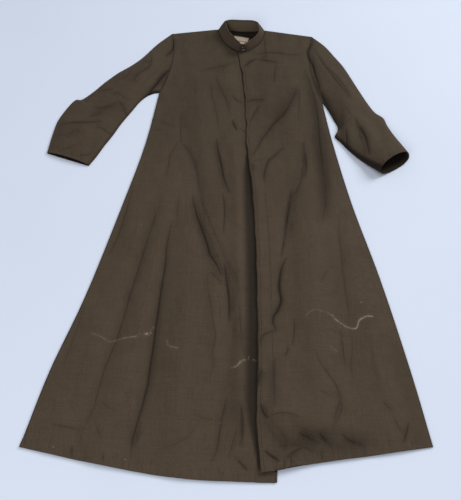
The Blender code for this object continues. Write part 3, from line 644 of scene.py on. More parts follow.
def lengths_along(points, axis, from_end=False):
    """The distance passed along the rows or columns of a grid, from its first or last line."""
    if from_end:
        return np.flip(lengths_along(np.flip(points, axis), axis), axis)
    steps = np.linalg.norm(np.diff(points, axis=axis), axis=-1)
    total = np.cumsum(steps, axis=axis)
    first = np.zeros_like(np.take(total, [0], axis=axis))
    return np.concatenate([first, total], axis=axis)


# ---------------------------------------------------------------- meshes

def grid_faces(rows, columns, start=0, closed=False):
    """Four-sided faces between neighbouring rows and columns, closed round the columns or not."""
    index = start + np.arange(rows * columns).reshape(rows, columns)
    if closed:
        index = np.hstack([index, index[:, :1]])
    return np.stack([index[:-1, :-1], index[:-1, 1:], index[1:, 1:], index[1:, :-1]],
                    axis=-1).reshape(-1, 4)


def strip_faces(first, second, closed=True):
    """Four-sided faces between two lines of points."""
    if closed:
        first = np.append(first, first[0])
        second = np.append(second, second[0])
    return np.stack([first[:-1], first[1:], second[1:], second[:-1]], axis=-1)


def tube_faces(rows, columns, start=0):
    """The faces of a tube from ring to ring, and the flat ones that close its two ends."""
    ends = np.arange(columns)[::-1], (rows - 1) * columns + np.arange(columns)
    return [grid_faces(rows, columns, start, True)] + [start + row[CAPS[columns]] for row in ends]


def show(name, data):
    """A new object of the scene."""
    thing = bpy.data.objects.new(name, data)
    bpy.context.scene.collection.objects.link(thing)
    return thing


def write_piece(name, points, faces, material, uv=None, values=None, replaced=()):
    """One closed object from points in the garment's frame, its faces turned outwards."""
    world = (points - np.array(MIDDLE)) * CM
    quads = np.vstack([f for f in faces if f.shape[1] == 4])
    a, b, c, d = (world[quads[:, k]] for k in range(4))
    volume = (np.einsum("ij,ij->i", a, np.cross(b, c)) + np.einsum("ij,ij->i", a, np.cross(c, d)))
    flip = -1 if volume.sum() < 0 else 1
    mesh = bpy.data.meshes.new(name)
    mesh.from_pydata(world.tolist(), [], [row for f in faces for row in f[:, ::flip].tolist()])
    mesh.shade_smooth()
    if uv is not None:
        layer = mesh.uv_layers.new(name="grain")
        corner = np.empty(len(mesh.loops), dtype=np.int32)
        mesh.loops.foreach_get("vertex_index", corner)
        layer.data.foreach_set("uv", (uv[corner] * CM).astype(np.float32).ravel())
    for key, field in (values or {}).items():
        store = mesh.attributes.new(key, "FLOAT", "POINT")
        store.data.foreach_set("value", np.asarray(field, dtype=np.float32).ravel())
    mesh.materials.append(material)
    piece = show(name, mesh)
    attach(piece, "root")
    if replaced:
        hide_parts(*replaced)
    return piece


def cloth_wall(name, under, upper, material, lip, values, replaced):
    """A wall between two grids, its rim a rounded edge through a line halfway between them.

    lip gives, for each point of the grid, how far that line is dropped to lie over the edge of
    the cloth below.
    """
    rows, columns = under.shape[:2]
    count = rows * columns
    index = np.arange(count).reshape(rows, columns)
    rim = np.concatenate([index[0, :], index[1:, -1], index[-1, -2::-1], index[-2:0:-1, 0]])
    top = upper.reshape(-1, 3)[rim]
    low = under.reshape(-1, 3)[rim]
    swing = np.roll(top, -1, axis=0)
    ahead = swing - np.roll(top, 1, axis=0)
    out = np.column_stack([ahead[:, 1], -ahead[:, 0]])
    out /= np.maximum(np.linalg.norm(out, axis=1), 1e-6)[:, None]
    if (top[:, 0] * swing[:, 1] - top[:, 1] * swing[:, 0]).sum() < 0:
        out = -out
    drop = lip.ravel()[rim]
    middle = (top + low) / 2.0
    middle[:, :2] += out * (RIM_OUT + LIP_OUT * drop)[:, None]
    lowered = (1.0 - drop) * middle[:, 2] + drop * LIP_HEIGHT
    middle[:, 2] = np.where(drop > 0.0, lowered, middle[:, 2])
    points = np.vstack([upper.reshape(-1, 3), under.reshape(-1, 3), middle])
    ring = 2 * count + np.arange(len(rim))
    faces = [grid_faces(rows, columns), grid_faces(rows, columns, count)[:, ::-1],
             strip_faces(ring, rim), strip_faces(rim + count, ring)]
    fields = {key: np.concatenate([field.ravel(), field.ravel(), field.ravel()[rim]])
              for key, field in values.items()}
    return write_piece(name, points, faces, material, points[:, :2], fields, replaced)


def cloth_values(shape, **fields):
    """The fields that the suiting reads: far from any edge or scuff where none is given."""
    far = np.full(shape, FAR)
    none = np.zeros(shape)
    return {"edge": far, "seam": far, "scuff_side": far, "scuff_along": none,
            "scuff_strength": none, **fields}


def scuff_fields(x, y, scuffs):
    """For the nearest scuff: the distance across it, the share passed, and its strength."""
    side = np.full(x.shape, FAR)
    along = np.zeros_like(x)
    strength = np.zeros_like(x)
    for path, strong in rows_of(scuffs, 1):
        across, passed = near_path(x, y, path, SCUFF_STEPS)
        closer = np.abs(across) < np.abs(side)
        side = np.where(closer, across, side)
        along = np.where(closer, passed, along)
        strength = np.where(closer, strong, strength)
    return {"scuff_side": side, "scuff_along": along, "scuff_strength": strength}


# ---------------------------------------------------------------- the body's panels

def body_edges():
    """The edges that the panels share, as rows and columns of points."""
    front = through(FRONT_EDGE, ARMHOLE_ROWS + SIDE_ROWS)
    underlap = front + (UNDERLAP, 0.0)
    underlap[0] = NECK_MIDDLE[-1]
    underlap[-1] = HEM_LEFT[0]
    edges = {"front": front, "underlap": underlap,
             "neck_middle": through(NECK_MIDDLE, UNDERLAP_STEPS),
             "neck_back": through(NECK_BACK, BACK_NECK_STEPS)}
    for side, armhole, seam, neck, shoulder in (
            ("right", ARMHOLE_RIGHT, SIDE_RIGHT, NECK_FRONT_RIGHT, SHOULDER_RIGHT),
            ("left", ARMHOLE_LEFT, SIDE_LEFT, NECK_FRONT_LEFT, SHOULDER_LEFT)):
        upper = arc(armhole, np.linspace(0.0, 1.0, ARMHOLE_ROWS + 1))
        edges[side] = np.vstack([upper, through(seam, SIDE_ROWS)[1:]])
        edges["neck_" + side] = through(neck, NECK_STEPS)
        edges["shoulder_" + side] = np.linspace(neck[-1], shoulder, SHOULDER_STEPS + 1)
    return edges


def front_grid(edges, side, inner, hem):
    """The plan of one front: its grid from the front edge or the underlap to the side seam."""
    top = np.vstack([edges["neck_" + side], edges["shoulder_" + side][1:]])
    return coons(top, through(hem, len(top) - 1), edges[inner], edges[side])


def lie(grid, folds):
    """How far a front floats above the back: nothing at its seams, with its folds between."""
    rows, columns = grid.shape[:2]
    v = np.linspace(0.0, 1.0, rows)[:, None] * np.ones((1, columns))
    u = np.ones((rows, 1)) * np.linspace(0.0, 1.0, columns)[None]
    inside = smooth(1.0 - u, 0.0, 0.22) * smooth(v, 0.0, 0.12)
    inside *= 1.0 - 0.45 * smooth(v, 0.86, 1.0)
    return soft_floor((FRONT_LIFT + ridges(grid[..., 0], grid[..., 1], folds)) * inside)


def front_wall(side, plan, low, least, drop, free, from_side, edge, hollow, lip, material):
    """One front over its low form, with its creases, swells, puckers and drift.

    least is the lowest that its underside may lie, drop how far it is turned down beside its
    free edge, free how freely it moves there, and edge the distance from that edge.
    """
    creases, swells, scuffs, pucker_seed, drift_seed = FRONTS[side]
    x, y = plan[..., 0], plan[..., 1]
    from_hem = lengths_along(plan, 0, True)
    from_top = lengths_along(plan, 0)
    crease, shade, line, sharp = creased(x, y, creases + ARMHOLE_FOLDS)
    crease += ridges(x, y, swells, CREASE_STEPS, 0.01, 0.6)
    crease += puckers(x, from_hem, pucker_seed) + drift(x, y, drift_seed, *DRIFT)
    crease *= free * smooth(from_side, 0.0, 1.6) * smooth(from_top, 0.0, 1.2)
    low = soft_floor(low + crease + drop, least, 0.03)
    turning = 1.0 - smooth(np.minimum(from_hem, edge), *TURNING)
    upper = np.dstack([x, y, low + WALL])
    under = np.dstack([x, y, low + WALL - CLOTH - (HEM_CLOTH - CLOTH) * turning])
    values = cloth_values(x.shape, fold=crease, edge=edge, hem=from_hem, line=line, sharp=sharp,
                          seam=np.minimum(from_side, from_top), shade=shade, hollow=hollow,
                          **scuff_fields(x, y, scuffs))
    piece = cloth_wall("cloth_front_" + side, under, upper, material, lip, values,
                       ("front_" + side,))
    return piece, (x, y, upper[..., 2])


def make_front_right(edges, strip, material):
    """The right front, banked up beside the valley at the left front's edge, its underlap flat
    beneath the left front.
    """
    body = front_grid(edges, "right", "front", HEM_RIGHT_STITCHES)
    front = edges["front"]
    depth, width = np.array(HOLLOW)[::-1].T
    from_edge = front[:, None, 0] - body[..., 0]
    wide = np.interp(front[:, 1], depth, width)[:, None]
    open_part = smooth(wide, 0.8, 2.4)
    bank = HOLLOW_BANK * open_part * np.exp(-((from_edge - wide - 1.5) / 1.9) ** 2)
    lift = lie(body, FOLDS_RIGHT) * smooth(from_edge, 0.5, 4.4)
    lift = (lift + bank) * smooth(from_edge, 0.3 * open_part, 2.0 + 1.6 * open_part)
    low = np.hstack([lift[:, ::-1], np.zeros((len(strip), UNDERLAP_STEPS))]) + FLOOR
    plan = np.hstack([body[:, ::-1], strip[:, 1:]])

    # The hem goes on below its stitches, and settles towards the back
    hem = np.vstack([through(HEM_RIGHT, body.shape[1] - 1)[::-1],
                     np.linspace(HEM_RIGHT[0], HEM_UNDERLAP_END, UNDERLAP_STEPS + 1)[1:]])
    share = np.linspace(0.0, 1.0, HEM_ROWS + 1)[1:, None, None]
    plan = np.vstack([plan, (1.0 - share) * plan[-1:] + share * hem[None]])
    low = np.vstack([low, (1.0 - 0.4 * share[..., 0]) * (low[-1:] - FLOOR) + FLOOR])

    edge_x = np.append(front[:, 0], np.full(HEM_ROWS, front[-1, 0]))
    inland = edge_x[:, None] - plan[..., 0]
    y = plan[..., 1]
    wide = np.interp(y.mean(axis=1), depth, width)[:, None]
    # Painted shade in the valley beside the left front's edge, fading out at the hem
    hollow = 1.0 - smooth(np.maximum(inland, 0.0), 0.55 * wide, 1.3 * wide)
    hollow *= 1.0 - smooth(-y, *HOLLOW_SHADE_END)
    lip = np.zeros(y.shape)
    lip[0, :SHOULDER_STEPS + 1] = 1.0
    lip[ARMHOLE_ROWS + 1:-HEM_ROWS - 1, 0] = 1.0
    return front_wall("right", plan, low, FLOOR, 0.0, smooth(inland, 0.0, 2.0),
                      lengths_along(plan, 1), np.full(y.shape, FAR), hollow, lip, material)


def make_front_left(edges, strip, material):
    """The left front, raised along its free edge and turned down at its fold."""
    body = front_grid(edges, "left", "underlap", HEM_LEFT)
    rise = EDGE_RISE * smooth(-edges["front"][:, 1], *EDGE_RISE_FROM)
    rise *= 1.0 - 0.3 * np.sin(np.linspace(0.0, 5.0 * np.pi, len(rise))) ** 2
    on_right = FLOOR + WALL + SEAM_GAP
    on_strip = on_right + rise[:, None] * np.linspace(1.0, 0.8, UNDERLAP_STEPS + 1)
    inner = smooth(np.linspace(0.0, 1.0, body.shape[1])[None], 0.0, 0.3)
    low = (FLOOR + (on_strip[:, -1:] - FLOOR) * (1.0 - inner)
           + lie(body, FOLDS_LEFT) * (0.15 + 0.85 * inner))
    on_strip[:, -1] = low[:, 0]
    low = np.hstack([on_strip, low[:, 1:]])
    plan = np.hstack([strip, body[:, 1:]])

    # The free edge wanders a little from side to side, less in the skirt
    down = plan[:, :1, 1]
    wander = 0.13 * np.sin(0.62 * down + 1.0) + 0.09 * np.sin(1.27 * down)
    wander += 0.12 * np.sin(0.21 * down)
    wander *= smooth(-down, 11.0, 16.0) * smooth(down, -136.0, -131.0)
    wander *= 1.0 - 0.6 * smooth(-down, 44.0, 52.0)
    plan[..., 0] += wander * np.exp(-lengths_along(plan, 1) / 2.0)

    from_fold = lengths_along(plan, 1)
    loose = smooth(rise, 0.1, 0.5)[:, None]
    drop = -0.24 * (1.0 - np.clip(from_fold / EDGE_STITCH, 0.0, 1.0)) ** 2 * loose
    drop -= 0.035 * np.exp(-((from_fold - EDGE_STITCH) / 0.12) ** 2)
    # Painted shade along the closed part of the fly, beside its fold
    shut = 0.8 * smooth(plan[..., 1].mean(axis=1), -45.0, -42.5)[:, None]
    hollow = shut * (1.0 - smooth(from_fold, 0.04, 0.26))
    least = np.full(from_fold.shape, FLOOR)
    least[:, :UNDERLAP_STEPS + 1] = on_right
    lip = np.zeros(from_fold.shape)
    lip[0, UNDERLAP_STEPS + NECK_STEPS:] = 1.0
    lip[ARMHOLE_ROWS + 1:-1, -1] = 1.0
    return front_wall("left", plan, low, least, drop, smooth(from_fold, 0.0, 1.5),
                      lengths_along(plan, 1, True), from_fold, hollow, lip, material)


def make_back(edges, material):
    """The back: one flat wall on the floor, a little inside the edges that lie over it."""
    top = np.vstack([edges["shoulder_right"][::-1], edges["neck_back"][1:],
                     edges["shoulder_left"][1:]])
    plan = coons(top, through(HEM_BACK[::-1], len(top) - 1), edges["right"], edges["left"])
    side = np.linspace(-1.0, 1.0, plan.shape[1])[None, :, None]
    rows = np.linspace(0.0, 1.0, plan.shape[0])[:, None, None]
    above_hem = 1.0 - smooth(rows, 0.96, 1.0)
    plan = plan - np.sign(side) * np.abs(side) ** 6 * above_hem * (BACK_INSET, 0.0)
    shoulder = np.where(np.abs(side) > BACK_NECK_STEPS / (len(top) - 1), 1.0, 0.0)
    plan = plan - shoulder * (1.0 - smooth(rows, 0.0, 0.03)) * (0.0, BACK_INSET)
    x, y = plan[..., 0], plan[..., 1]
    crease, shade, line, sharp = creased(x, y, CREASES_BACK)
    crease = np.maximum(0.0, 0.3 * crease)
    under = np.dstack([x, y, np.minimum(crease, 0.05)])
    # Painted shade in the neck, under the collar
    neck = smooth(y, -11.0, -8.0) * (1.0 - smooth(np.abs(x), 9.0, 12.0))
    values = cloth_values(x.shape, fold=crease, hem=lengths_along(plan, 0, True), line=line,
                          sharp=sharp, shade=shade, hollow=neck)
    return cloth_wall("cloth_back", under, under + (0.0, 0.0, CLOTH), material,
                      np.zeros(x.shape), values, ("back",))


# ---------------------------------------------------------------- the sleeves

def ring_section(height, roundness, angle):
    """One ring: the heights of its outer and inner skin, round at its folded edges."""
    high_edge = (1.0 - roundness) * FOLDED_EDGE + roundness * height
    middle = (1.0 - roundness) * FOLDED_EDGE / 2 + roundness * height * ROUND_MIDDLE
    lean = np.abs(np.sin(angle))
    first = np.minimum(1.0, lean / np.sin(FOLD_ANGLE))
    turned = np.sqrt(1.0 - (1.0 - first) ** 2)
    quick = (1.0 - roundness) * turned + roundness * lean ** SIDE_POWER
    crown = (height - high_edge) * lean ** CROWN_POWER
    top = middle + (high_edge - middle) * quick + crown
    bottom = middle * (1.0 - quick)
    above = np.sin(angle) >= -1e-9
    wall = CLOTH * turned
    outer = np.where(above, top, bottom)
    inner = np.where(above, top - wall, bottom + wall)
    return outer, inner, above


def make_sleeve(side, material):
    """A sleeve: a tube carried through flattened rings, flat below, crowned and creased above."""
    rings, armhole, folds, creases, seed = SLEEVES[side]
    table = through(rings, SLEEVE_RINGS)
    angle = np.arange(RING_POINTS) * 2.0 * np.pi / RING_POINTS
    share = (1.0 - np.cos(angle)) / 2.0
    outer_side = np.sign(rings[-1][0])
    bow = arc(armhole, share) - (np.array(armhole[0]) + share[:, None]
                                 * (np.array(armhole[2]) - np.array(armhole[0])))
    skins = ([], [])
    marks = []
    for k, (ax, ay, bx, by, height, roundness) in enumerate(table):
        v = k / SLEEVE_RINGS
        a = np.array((ax, ay))
        width = np.array((bx, by)) - a
        reach = np.linalg.norm(width)
        roundness = max(0.0, roundness)
        height = FOLDED_EDGE + (height - FOLDED_EDGE) * smooth(v, 0.0, 0.05)
        *skin_z, above = ring_section(height, roundness, angle)
        plan = a + share[:, None] * width + bow * (1.0 - smooth(v, 0.0, 0.35))
        plan[:, 0] += outer_side * BUTT_GAP
        pull = CLOTH * np.cos(angle)[:, None] * width / reach
        along = np.array((-width[1], width[0])) / reach * outer_side
        tilt = CUFF_TILT * roundness * smooth(v, CUFF_TILT_FROM, 1.0)
        x, y = plan[:, 0], plan[:, 1]
        crown = np.abs(np.sin(angle))

        # Fine creases and broad folds lie on the upper side only, and never below the edge
        fine, shade, line, sharp = creased(x, y, creases)
        fine = fine + drift(x, y, seed, *SLEEVE_DRIFT)
        fine *= smooth(v, 0.0, 0.03) * (1.0 - smooth(v, 0.985, 1.0)) * smooth(crown, 0.0, 0.3)
        ripple = ridges(x, y, folds) * crown ** 1.5 * smooth(v, 0.0, 0.08) + fine
        lowest = np.minimum(0.0, FOLDED_EDGE - skin_z[0])
        ripple = np.where(above, np.maximum(ripple, lowest), 0.0)
        for skin, z, inward in zip(skins, skin_z, (0.0, 1.0)):
            shift = tilt * (0.55 - z / max(height, 0.1))
            xy = plan + pull * inward + along * shift[:, None]
            skin.append(np.column_stack([xy, z + ripple]))

        # Painted shade: the edge that turns away from the light is darker, more so where it is
        # tucked under, and the underside too
        tucked = smooth(v, 0.35, 0.45) if outer_side > 0.0 else 1.0 - smooth(v, 0.12, 0.30)
        from_inner = (1.0 - share) * reach
        edge = (0.35 + 0.45 * tucked) * (1.0 - smooth(from_inner, 0.15, 0.75 + 0.4 * tucked))
        shade = 1.0 - (1.0 - shade) * (1.0 - edge)
        below = 0.6 * smooth(-np.sin(angle), 0.0, 0.3)
        marks.append((fine * above, line, sharp * above, np.where(above, shade, below)))
    outer, inner = (np.array(skin) for skin in skins)
    rows, columns = outer.shape[:2]
    count = rows * columns

    # A rounded rim at the mouth, halfway between the skins and a little beyond them
    rim = (outer[-1] + inner[-1]) / 2.0 + unit(outer[-1] - outer[-2]) * RIM_BEYOND
    points = np.vstack([outer.reshape(-1, 3), inner.reshape(-1, 3), rim])
    first = np.arange(columns)
    last = (rows - 1) * columns + first
    ring = 2 * count + first
    faces = [grid_faces(rows, columns, 0, True), grid_faces(rows, columns, count, True)[:, ::-1],
             strip_faces(first + count, first), strip_faces(last, ring),
             strip_faces(ring, last + count)]

    def on_all(field):
        """One field of the outer skin, carried to the inner skin and the rim as well."""
        flat = field.reshape(count, -1)
        return np.vstack([flat, flat, flat[last]])

    from_mouth = lengths_along(outer, 0, True)
    around = lengths_along(np.concatenate([outer, outer[:, :1]], axis=1), 1)[:, :-1]
    # Painted shade inside the sleeve, on its inner skin, deepening away from the mouth
    inside = 1.3 * smooth(from_mouth.ravel(), 0.5, 1.9)
    fold, line, sharp, shade = (on_all(mark) for mark in np.moveaxis(np.array(marks), 1, 0))
    hollow = np.concatenate([np.zeros(count), inside, np.zeros(columns)])
    values = cloth_values(len(points), hem=on_all(from_mouth), seam=on_all(lengths_along(outer, 0)),
                          hollow=hollow, fold=fold, line=line, sharp=sharp, shade=shade)
    return write_piece("cloth_sleeve_" + side, points, faces, material,
                       on_all(np.dstack([around, from_mouth])), values, ("sleeve_" + side,))


# ---------------------------------------------------------------- the collar and its button

def inward(path):
    """Level unit normals of a path that runs clockwise round the neck, towards its middle."""
    run = unit(np.gradient(path[:, :2], axis=0))
    return np.column_stack([run[:, 1], -run[:, 0], np.zeros(len(run))])


def collar_edges(edges):
    """The outer face's lower and upper edge at each station, and both inward normals."""
    middle = edges["neck_middle"][::-1]
    lower = np.vstack([middle, edges["neck_right"][1:], edges["neck_back"][1:],
                       edges["neck_left"][::-1][1:], middle[1:]])
    lap = through(COLLAR_TOP_LAP, UNDERLAP_STEPS)
    upper = np.vstack([lap, through(COLLAR_TOP_RIGHT, NECK_STEPS)[1:],
                       through(COLLAR_TOP_BACK, BACK_NECK_STEPS)[1:],
                       through(COLLAR_TOP_LEFT, NECK_STEPS)[1:], lap[1:]])
    lower = np.column_stack([lower, np.full(len(lower), FLOOR)])
    normal_low = inward(lower)
    normal_high = inward(upper)
    station = np.arange(len(lower))
    under = 1.0 - smooth(station, UNDERLAP_STEPS, UNDERLAP_STEPS + LAP_FADE_STEPS)
    inset = (BUTT_GAP + under * (COLLAR_WALL + BUTT_GAP))[:, None]
    return lower + normal_low * inset, upper + normal_high * inset, normal_low, normal_high


def blunt(values, width=10):
    """Rows averaged with their neighbours along the first axis, ends kept."""
    kernel = np.hanning(2 * width + 3)[1:-1]
    kernel /= kernel.sum()
    padded = np.concatenate([2 * values[:1] - values[width:0:-1], values,
                             2 * values[-1:] - values[-2:-width - 2:-1]])
    return np.stack([np.convolve(padded[:, k], kernel, mode="valid")
                     for k in range(values.shape[1])], 1)


def make_collar(edges, material):
    """The standing band: faces drawn from foot to top at each station, with a rolled top edge.

    The outer face is the straight line from the lower to the upper edge, the inner one lies a
    wall's thickness inside it, and half a circle joins them at the top.
    """
    lower, upper, normal_low, normal_high = (part[:, None] for part in collar_edges(edges))
    normal_low = blunt(normal_low[:, 0])[:, None]
    normal_high = blunt(normal_high[:, 0])[:, None]
    share = np.linspace(0.0, 1.0, COLLAR_FACE_POINTS)[None, :, None]
    face = lower * (1 - share) + upper * share
    normal = normal_low * (1 - share) + normal_high * share
    swell = 0.035 * np.sin(np.pi * share) - 0.02 * np.exp(-((share - 0.9) / 0.03) ** 2)
    at = np.arange(len(lower))[:, None, None]
    uneven = 0.016 * np.sin(at * 0.11 + 5.0 * share) + 0.012 * np.sin(at * 0.047 - 3.0 * share)
    uneven = uneven * np.sin(np.pi * share)
    outer = face - normal * (swell + uneven)
    inner = face + normal * (COLLAR_WALL - uneven)
    turn = np.linspace(0.0, np.pi, COLLAR_ROLL_POINTS)[1:-1][None, :, None]
    roll = upper + normal_high * COLLAR_WALL / 2 * (1.0 - np.cos(turn))
    roll = roll + np.array((0.0, 0.0, 0.4 * COLLAR_WALL)) * np.sin(turn)
    section = np.concatenate([outer, roll, inner[:, ::-1]], axis=1)
    rows, columns = section.shape[:2]
    count = rows * columns

    # The band's two ends close with a line halfway through the wall, a little beyond its face
    half = columns // 2
    near = np.arange(half + 1)
    ends = []
    caps = []
    for end, step in ((0, 1), (rows - 1, -1)):
        beyond = unit(section[end] - section[end + step])[:half + 1] * RIM_BEYOND
        cap = count + len(ends) * (half + 1) + near
        ends.append((section[end, :half + 1] + section[end, ::-1][:half + 1]) / 2.0 + beyond)
        pair = [strip_faces(end * columns + near, cap, False),
                strip_faces(cap, (end + 1) * columns - 1 - near, False)]
        caps += [p[:, ::-1] for p in pair] if end == 0 else pair
    points = np.vstack([section.reshape(-1, 3)] + ends)
    index = np.arange(count).reshape(rows, columns)
    foot = np.stack([index[:-1, -1], index[:-1, 0], index[1:, 0], index[1:, -1]], axis=-1)
    corners = np.array([[index[0, -1], index[0, 0], count],
                        [index[-1, 0], index[-1, -1], count + half + 1]])
    faces = [grid_faces(rows, columns), foot] + caps + [corners]

    # The fields: distance from the band's edges and from its foot, and which face is inside, which
    # the finish makes lighter as painted light
    along = lengths_along(section, 0)
    up = lengths_along(section, 1)
    edge = np.minimum(np.abs(up - up[:, half:half + 1]), np.minimum(along, along[-1:] - along))
    inside = np.repeat((np.arange(columns) > half).astype(float)[None], rows, axis=0)
    tail = np.vstack([np.column_stack([np.full(half + 1, along[end, 0]), up[end, :half + 1]])
                      for end in (0, rows - 1)])
    values = {key: np.append(field.ravel(), np.full(len(tail), at_ends)) for key, field, at_ends in
              (("edge", edge, 0.0), ("inside", inside, 0.0),
               ("seam", np.minimum(up, up[:, -1:] - up), 9.0))}
    uv = np.vstack([np.dstack([along, up]).reshape(-1, 2), tail])
    return write_piece("standing_collar", points, faces, material, uv, values, ("collar",))


def button_place(edges):
    """The button's centre on the collar's face, and its side, rise and outward directions."""
    lower, upper, _, _ = collar_edges(edges)
    last = len(lower) - 1
    station = last - UNDERLAP_STEPS * (1.0 - BUTTON_STATION)
    low, high = (np.array([np.interp(station, range(last + 1), line[:, k]) for k in range(3)])
                 for line in (lower, upper))
    rise = unit(high - low)
    out = unit(np.cross(lower[last] - lower[last - UNDERLAP_STEPS], rise))
    out *= -np.sign(out[1])
    centre = low + (high - low) * BUTTON_HEIGHT + out * (SEAM_GAP + 0.13)
    tipped = out * np.cos(BUTTON_TIP) + rise * np.sin(BUTTON_TIP)
    rise = rise * np.cos(BUTTON_TIP) - out * np.sin(BUTTON_TIP)
    return centre, np.cross(rise, tipped), rise, tipped


def make_button(edges, material, thread):
    """A turned button: rings of a profile, its dished face sunk at four holes, and its thread."""
    centre, side, rise, out = button_place(edges)
    profile = np.array(BUTTON_PROFILE)
    turn = np.arange(BUTTON_SIDES) * 2.0 * np.pi / BUTTON_SIDES
    across = BUTTON_RADIUS * profile[:, None, :1] * np.dstack([np.cos(turn), np.sin(turn)])[0]
    depth = BUTTON_DEPTH * profile[:, 1:] * np.ones((1, BUTTON_SIDES))
    holes = HOLE_FROM_MIDDLE * np.array(((1, 1), (-1, 1), (-1, -1), (1, -1)))
    face = (np.arange(len(profile)) > BUTTON_RIM_ROW)[:, None]
    for hole in holes:
        away = np.linalg.norm(across - hole, axis=-1)
        depth = depth - face * 0.10 * np.exp(-(away / 0.045) ** 4)
    points = (centre + across[..., :1] * side + across[..., 1:] * rise
              + depth[..., None] * out).reshape(-1, 3)
    points = np.vstack([points, centre + out * BUTTON_DEPTH * profile[-1, 1]])
    rim = len(points) - 1 - BUTTON_SIDES + np.arange(BUTTON_SIDES)
    fan = np.column_stack([rim, np.roll(rim, -1), np.full(BUTTON_SIDES, len(points) - 1)])
    faces = [grid_faces(len(profile), BUTTON_SIDES, 0, True), fan]
    button = write_piece("turned_button", points, faces, material, None, None,
                         ("collar_button",))

    # Two strands of thread between the holes, each a tube on a low arch
    arch = np.linspace(0.0, np.pi, THREAD_RINGS)
    t = (1.0 - np.cos(arch))[:, None] / 2.0
    ring = (np.arange(SMALL_SIDES) * 2.0 * np.pi / SMALL_SIDES)[None, :, None]
    strands = []
    faces = []
    for start, end in ((holes[0], holes[2]), (holes[1], holes[3])):
        flat = start + (end - start) * t
        high = BUTTON_DEPTH * 0.66 + 0.075 * np.sin(arch)
        core = centre + flat[:, :1] * side + flat[:, 1:] * rise + high[:, None] * out
        sideways = unit(np.cross(out, core[-1] - core[0]))
        tube = core[:, None] + THREAD_RADIUS * (np.cos(ring) * sideways + np.sin(ring) * out)
        faces += tube_faces(THREAD_RINGS, SMALL_SIDES, len(strands) * THREAD_RINGS * SMALL_SIDES)
        strands.append(tube.reshape(-1, 3))
    stitches = write_piece("button_thread", np.vstack(strands), faces, thread)
    return button, stitches


# ---------------------------------------------------------------- labels, tack and lint

def make_ribbon(name, sizes, material, replaced):
    """A slip of woven ribbon: a wall between two grids, curling up a little at one corner."""
    x, y, width, height, depth = sizes
    columns, rows = RIBBON_GRID
    u, v = np.meshgrid(np.linspace(-1.0, 1.0, columns), np.linspace(1.0, -1.0, rows))
    across = np.array((np.cos(LABEL_TURN), np.sin(LABEL_TURN))) * width / 2
    up = np.array((-np.sin(LABEL_TURN), np.cos(LABEL_TURN))) * height / 2
    plan = np.array((x, y)) + u[..., None] * across + v[..., None] * up
    curl = 0.10 * smooth(u - v, 1.1, 2.0) + 0.015 * np.sin(4.0 * u + 2.0 * v)
    under = np.dstack([plan, FLOOR + 0.015 + curl])
    edge = np.minimum((1.0 - np.abs(u)) * width / 2, (1.0 - np.abs(v)) * height / 2)
    piece = cloth_wall(name, under, under + (0.0, 0.0, depth * 0.6), material, np.zeros(u.shape),
                       {"edge": edge}, replaced)
    return piece


def cloth_height(surfaces, places, reach):
    """The highest of the surfaces within reach of each place, at their nearest points."""
    height = np.zeros(len(places))
    for x, y, z in surfaces:
        away = np.hypot(x.ravel()[None] - places[:, :1], y.ravel()[None] - places[:, 1:])
        here = z.ravel()[away.argmin(axis=1)]
        height = np.where(away.min(axis=1) < reach, np.maximum(height, here), height)
    return height


def make_tack(surfaces, material):
    """The tack that ends the closed part of the fly: a ribbed bar of thread on the cloth."""
    start, end = np.array(TACK)
    t = np.linspace(0.0, 1.0, TACK_RINGS)
    core = start + (end - start) * t[:, None]
    height = np.pad(cloth_height(surfaces, core, TACK_REACH), TACK_EVEN, mode="edge")
    kernel = np.ones(2 * TACK_EVEN + 1)
    height = np.convolve(height, kernel / kernel.sum(), mode="valid")
    run = unit(end - start)
    ring = np.arange(TACK_SIDES) * 2.0 * np.pi / TACK_SIDES
    width = TACK_WIDTH * np.sin(np.pi * np.clip(t, 0.02, 0.98)) ** 0.3
    width *= 1.0 + 0.12 * np.sin(t * 130.0)
    flat = core[:, None] + (width[:, None, None] * np.cos(ring)[None, :, None]
                            * np.array((-run[1], run[0])))
    high = height[:, None] + 0.03 + 0.045 * np.sin(ring)[None] * (width / TACK_WIDTH)[:, None]
    points = np.dstack([flat, high]).reshape(-1, 3)
    return write_piece("fly_tack", points, tube_faces(TACK_RINGS, TACK_SIDES), material)


def make_lint(surfaces, material):
    """Specks of lint: small flattened balls of fibre that sit on the cloth."""
    points = []
    faces = []
    turn = np.arange(SMALL_SIDES) * 2.0 * np.pi / SMALL_SIDES
    radius, level = np.array(LINT_RINGS).T[..., None]
    heights = cloth_height(surfaces, np.array(LINT)[:, :2], LINT_REACH)
    for k, ((x, y, size), height) in enumerate(zip(LINT, heights)):
        ring = radius * (1.0 + 0.3 * np.sin(turn * 3.0 + k)) * size / 2.0
        high = height + 0.005 + 0.25 * size * level * np.ones(SMALL_SIDES)
        points.append(np.dstack([x + ring * np.cos(turn), y + 0.6 * ring * np.sin(turn),
                                 high]).reshape(-1, 3))
        faces += tube_faces(len(LINT_RINGS), SMALL_SIDES, k * len(LINT_RINGS) * SMALL_SIDES)
    return write_piece("lint_specks", np.vstack(points), faces, material)


# ---------------------------------------------------------------- materials

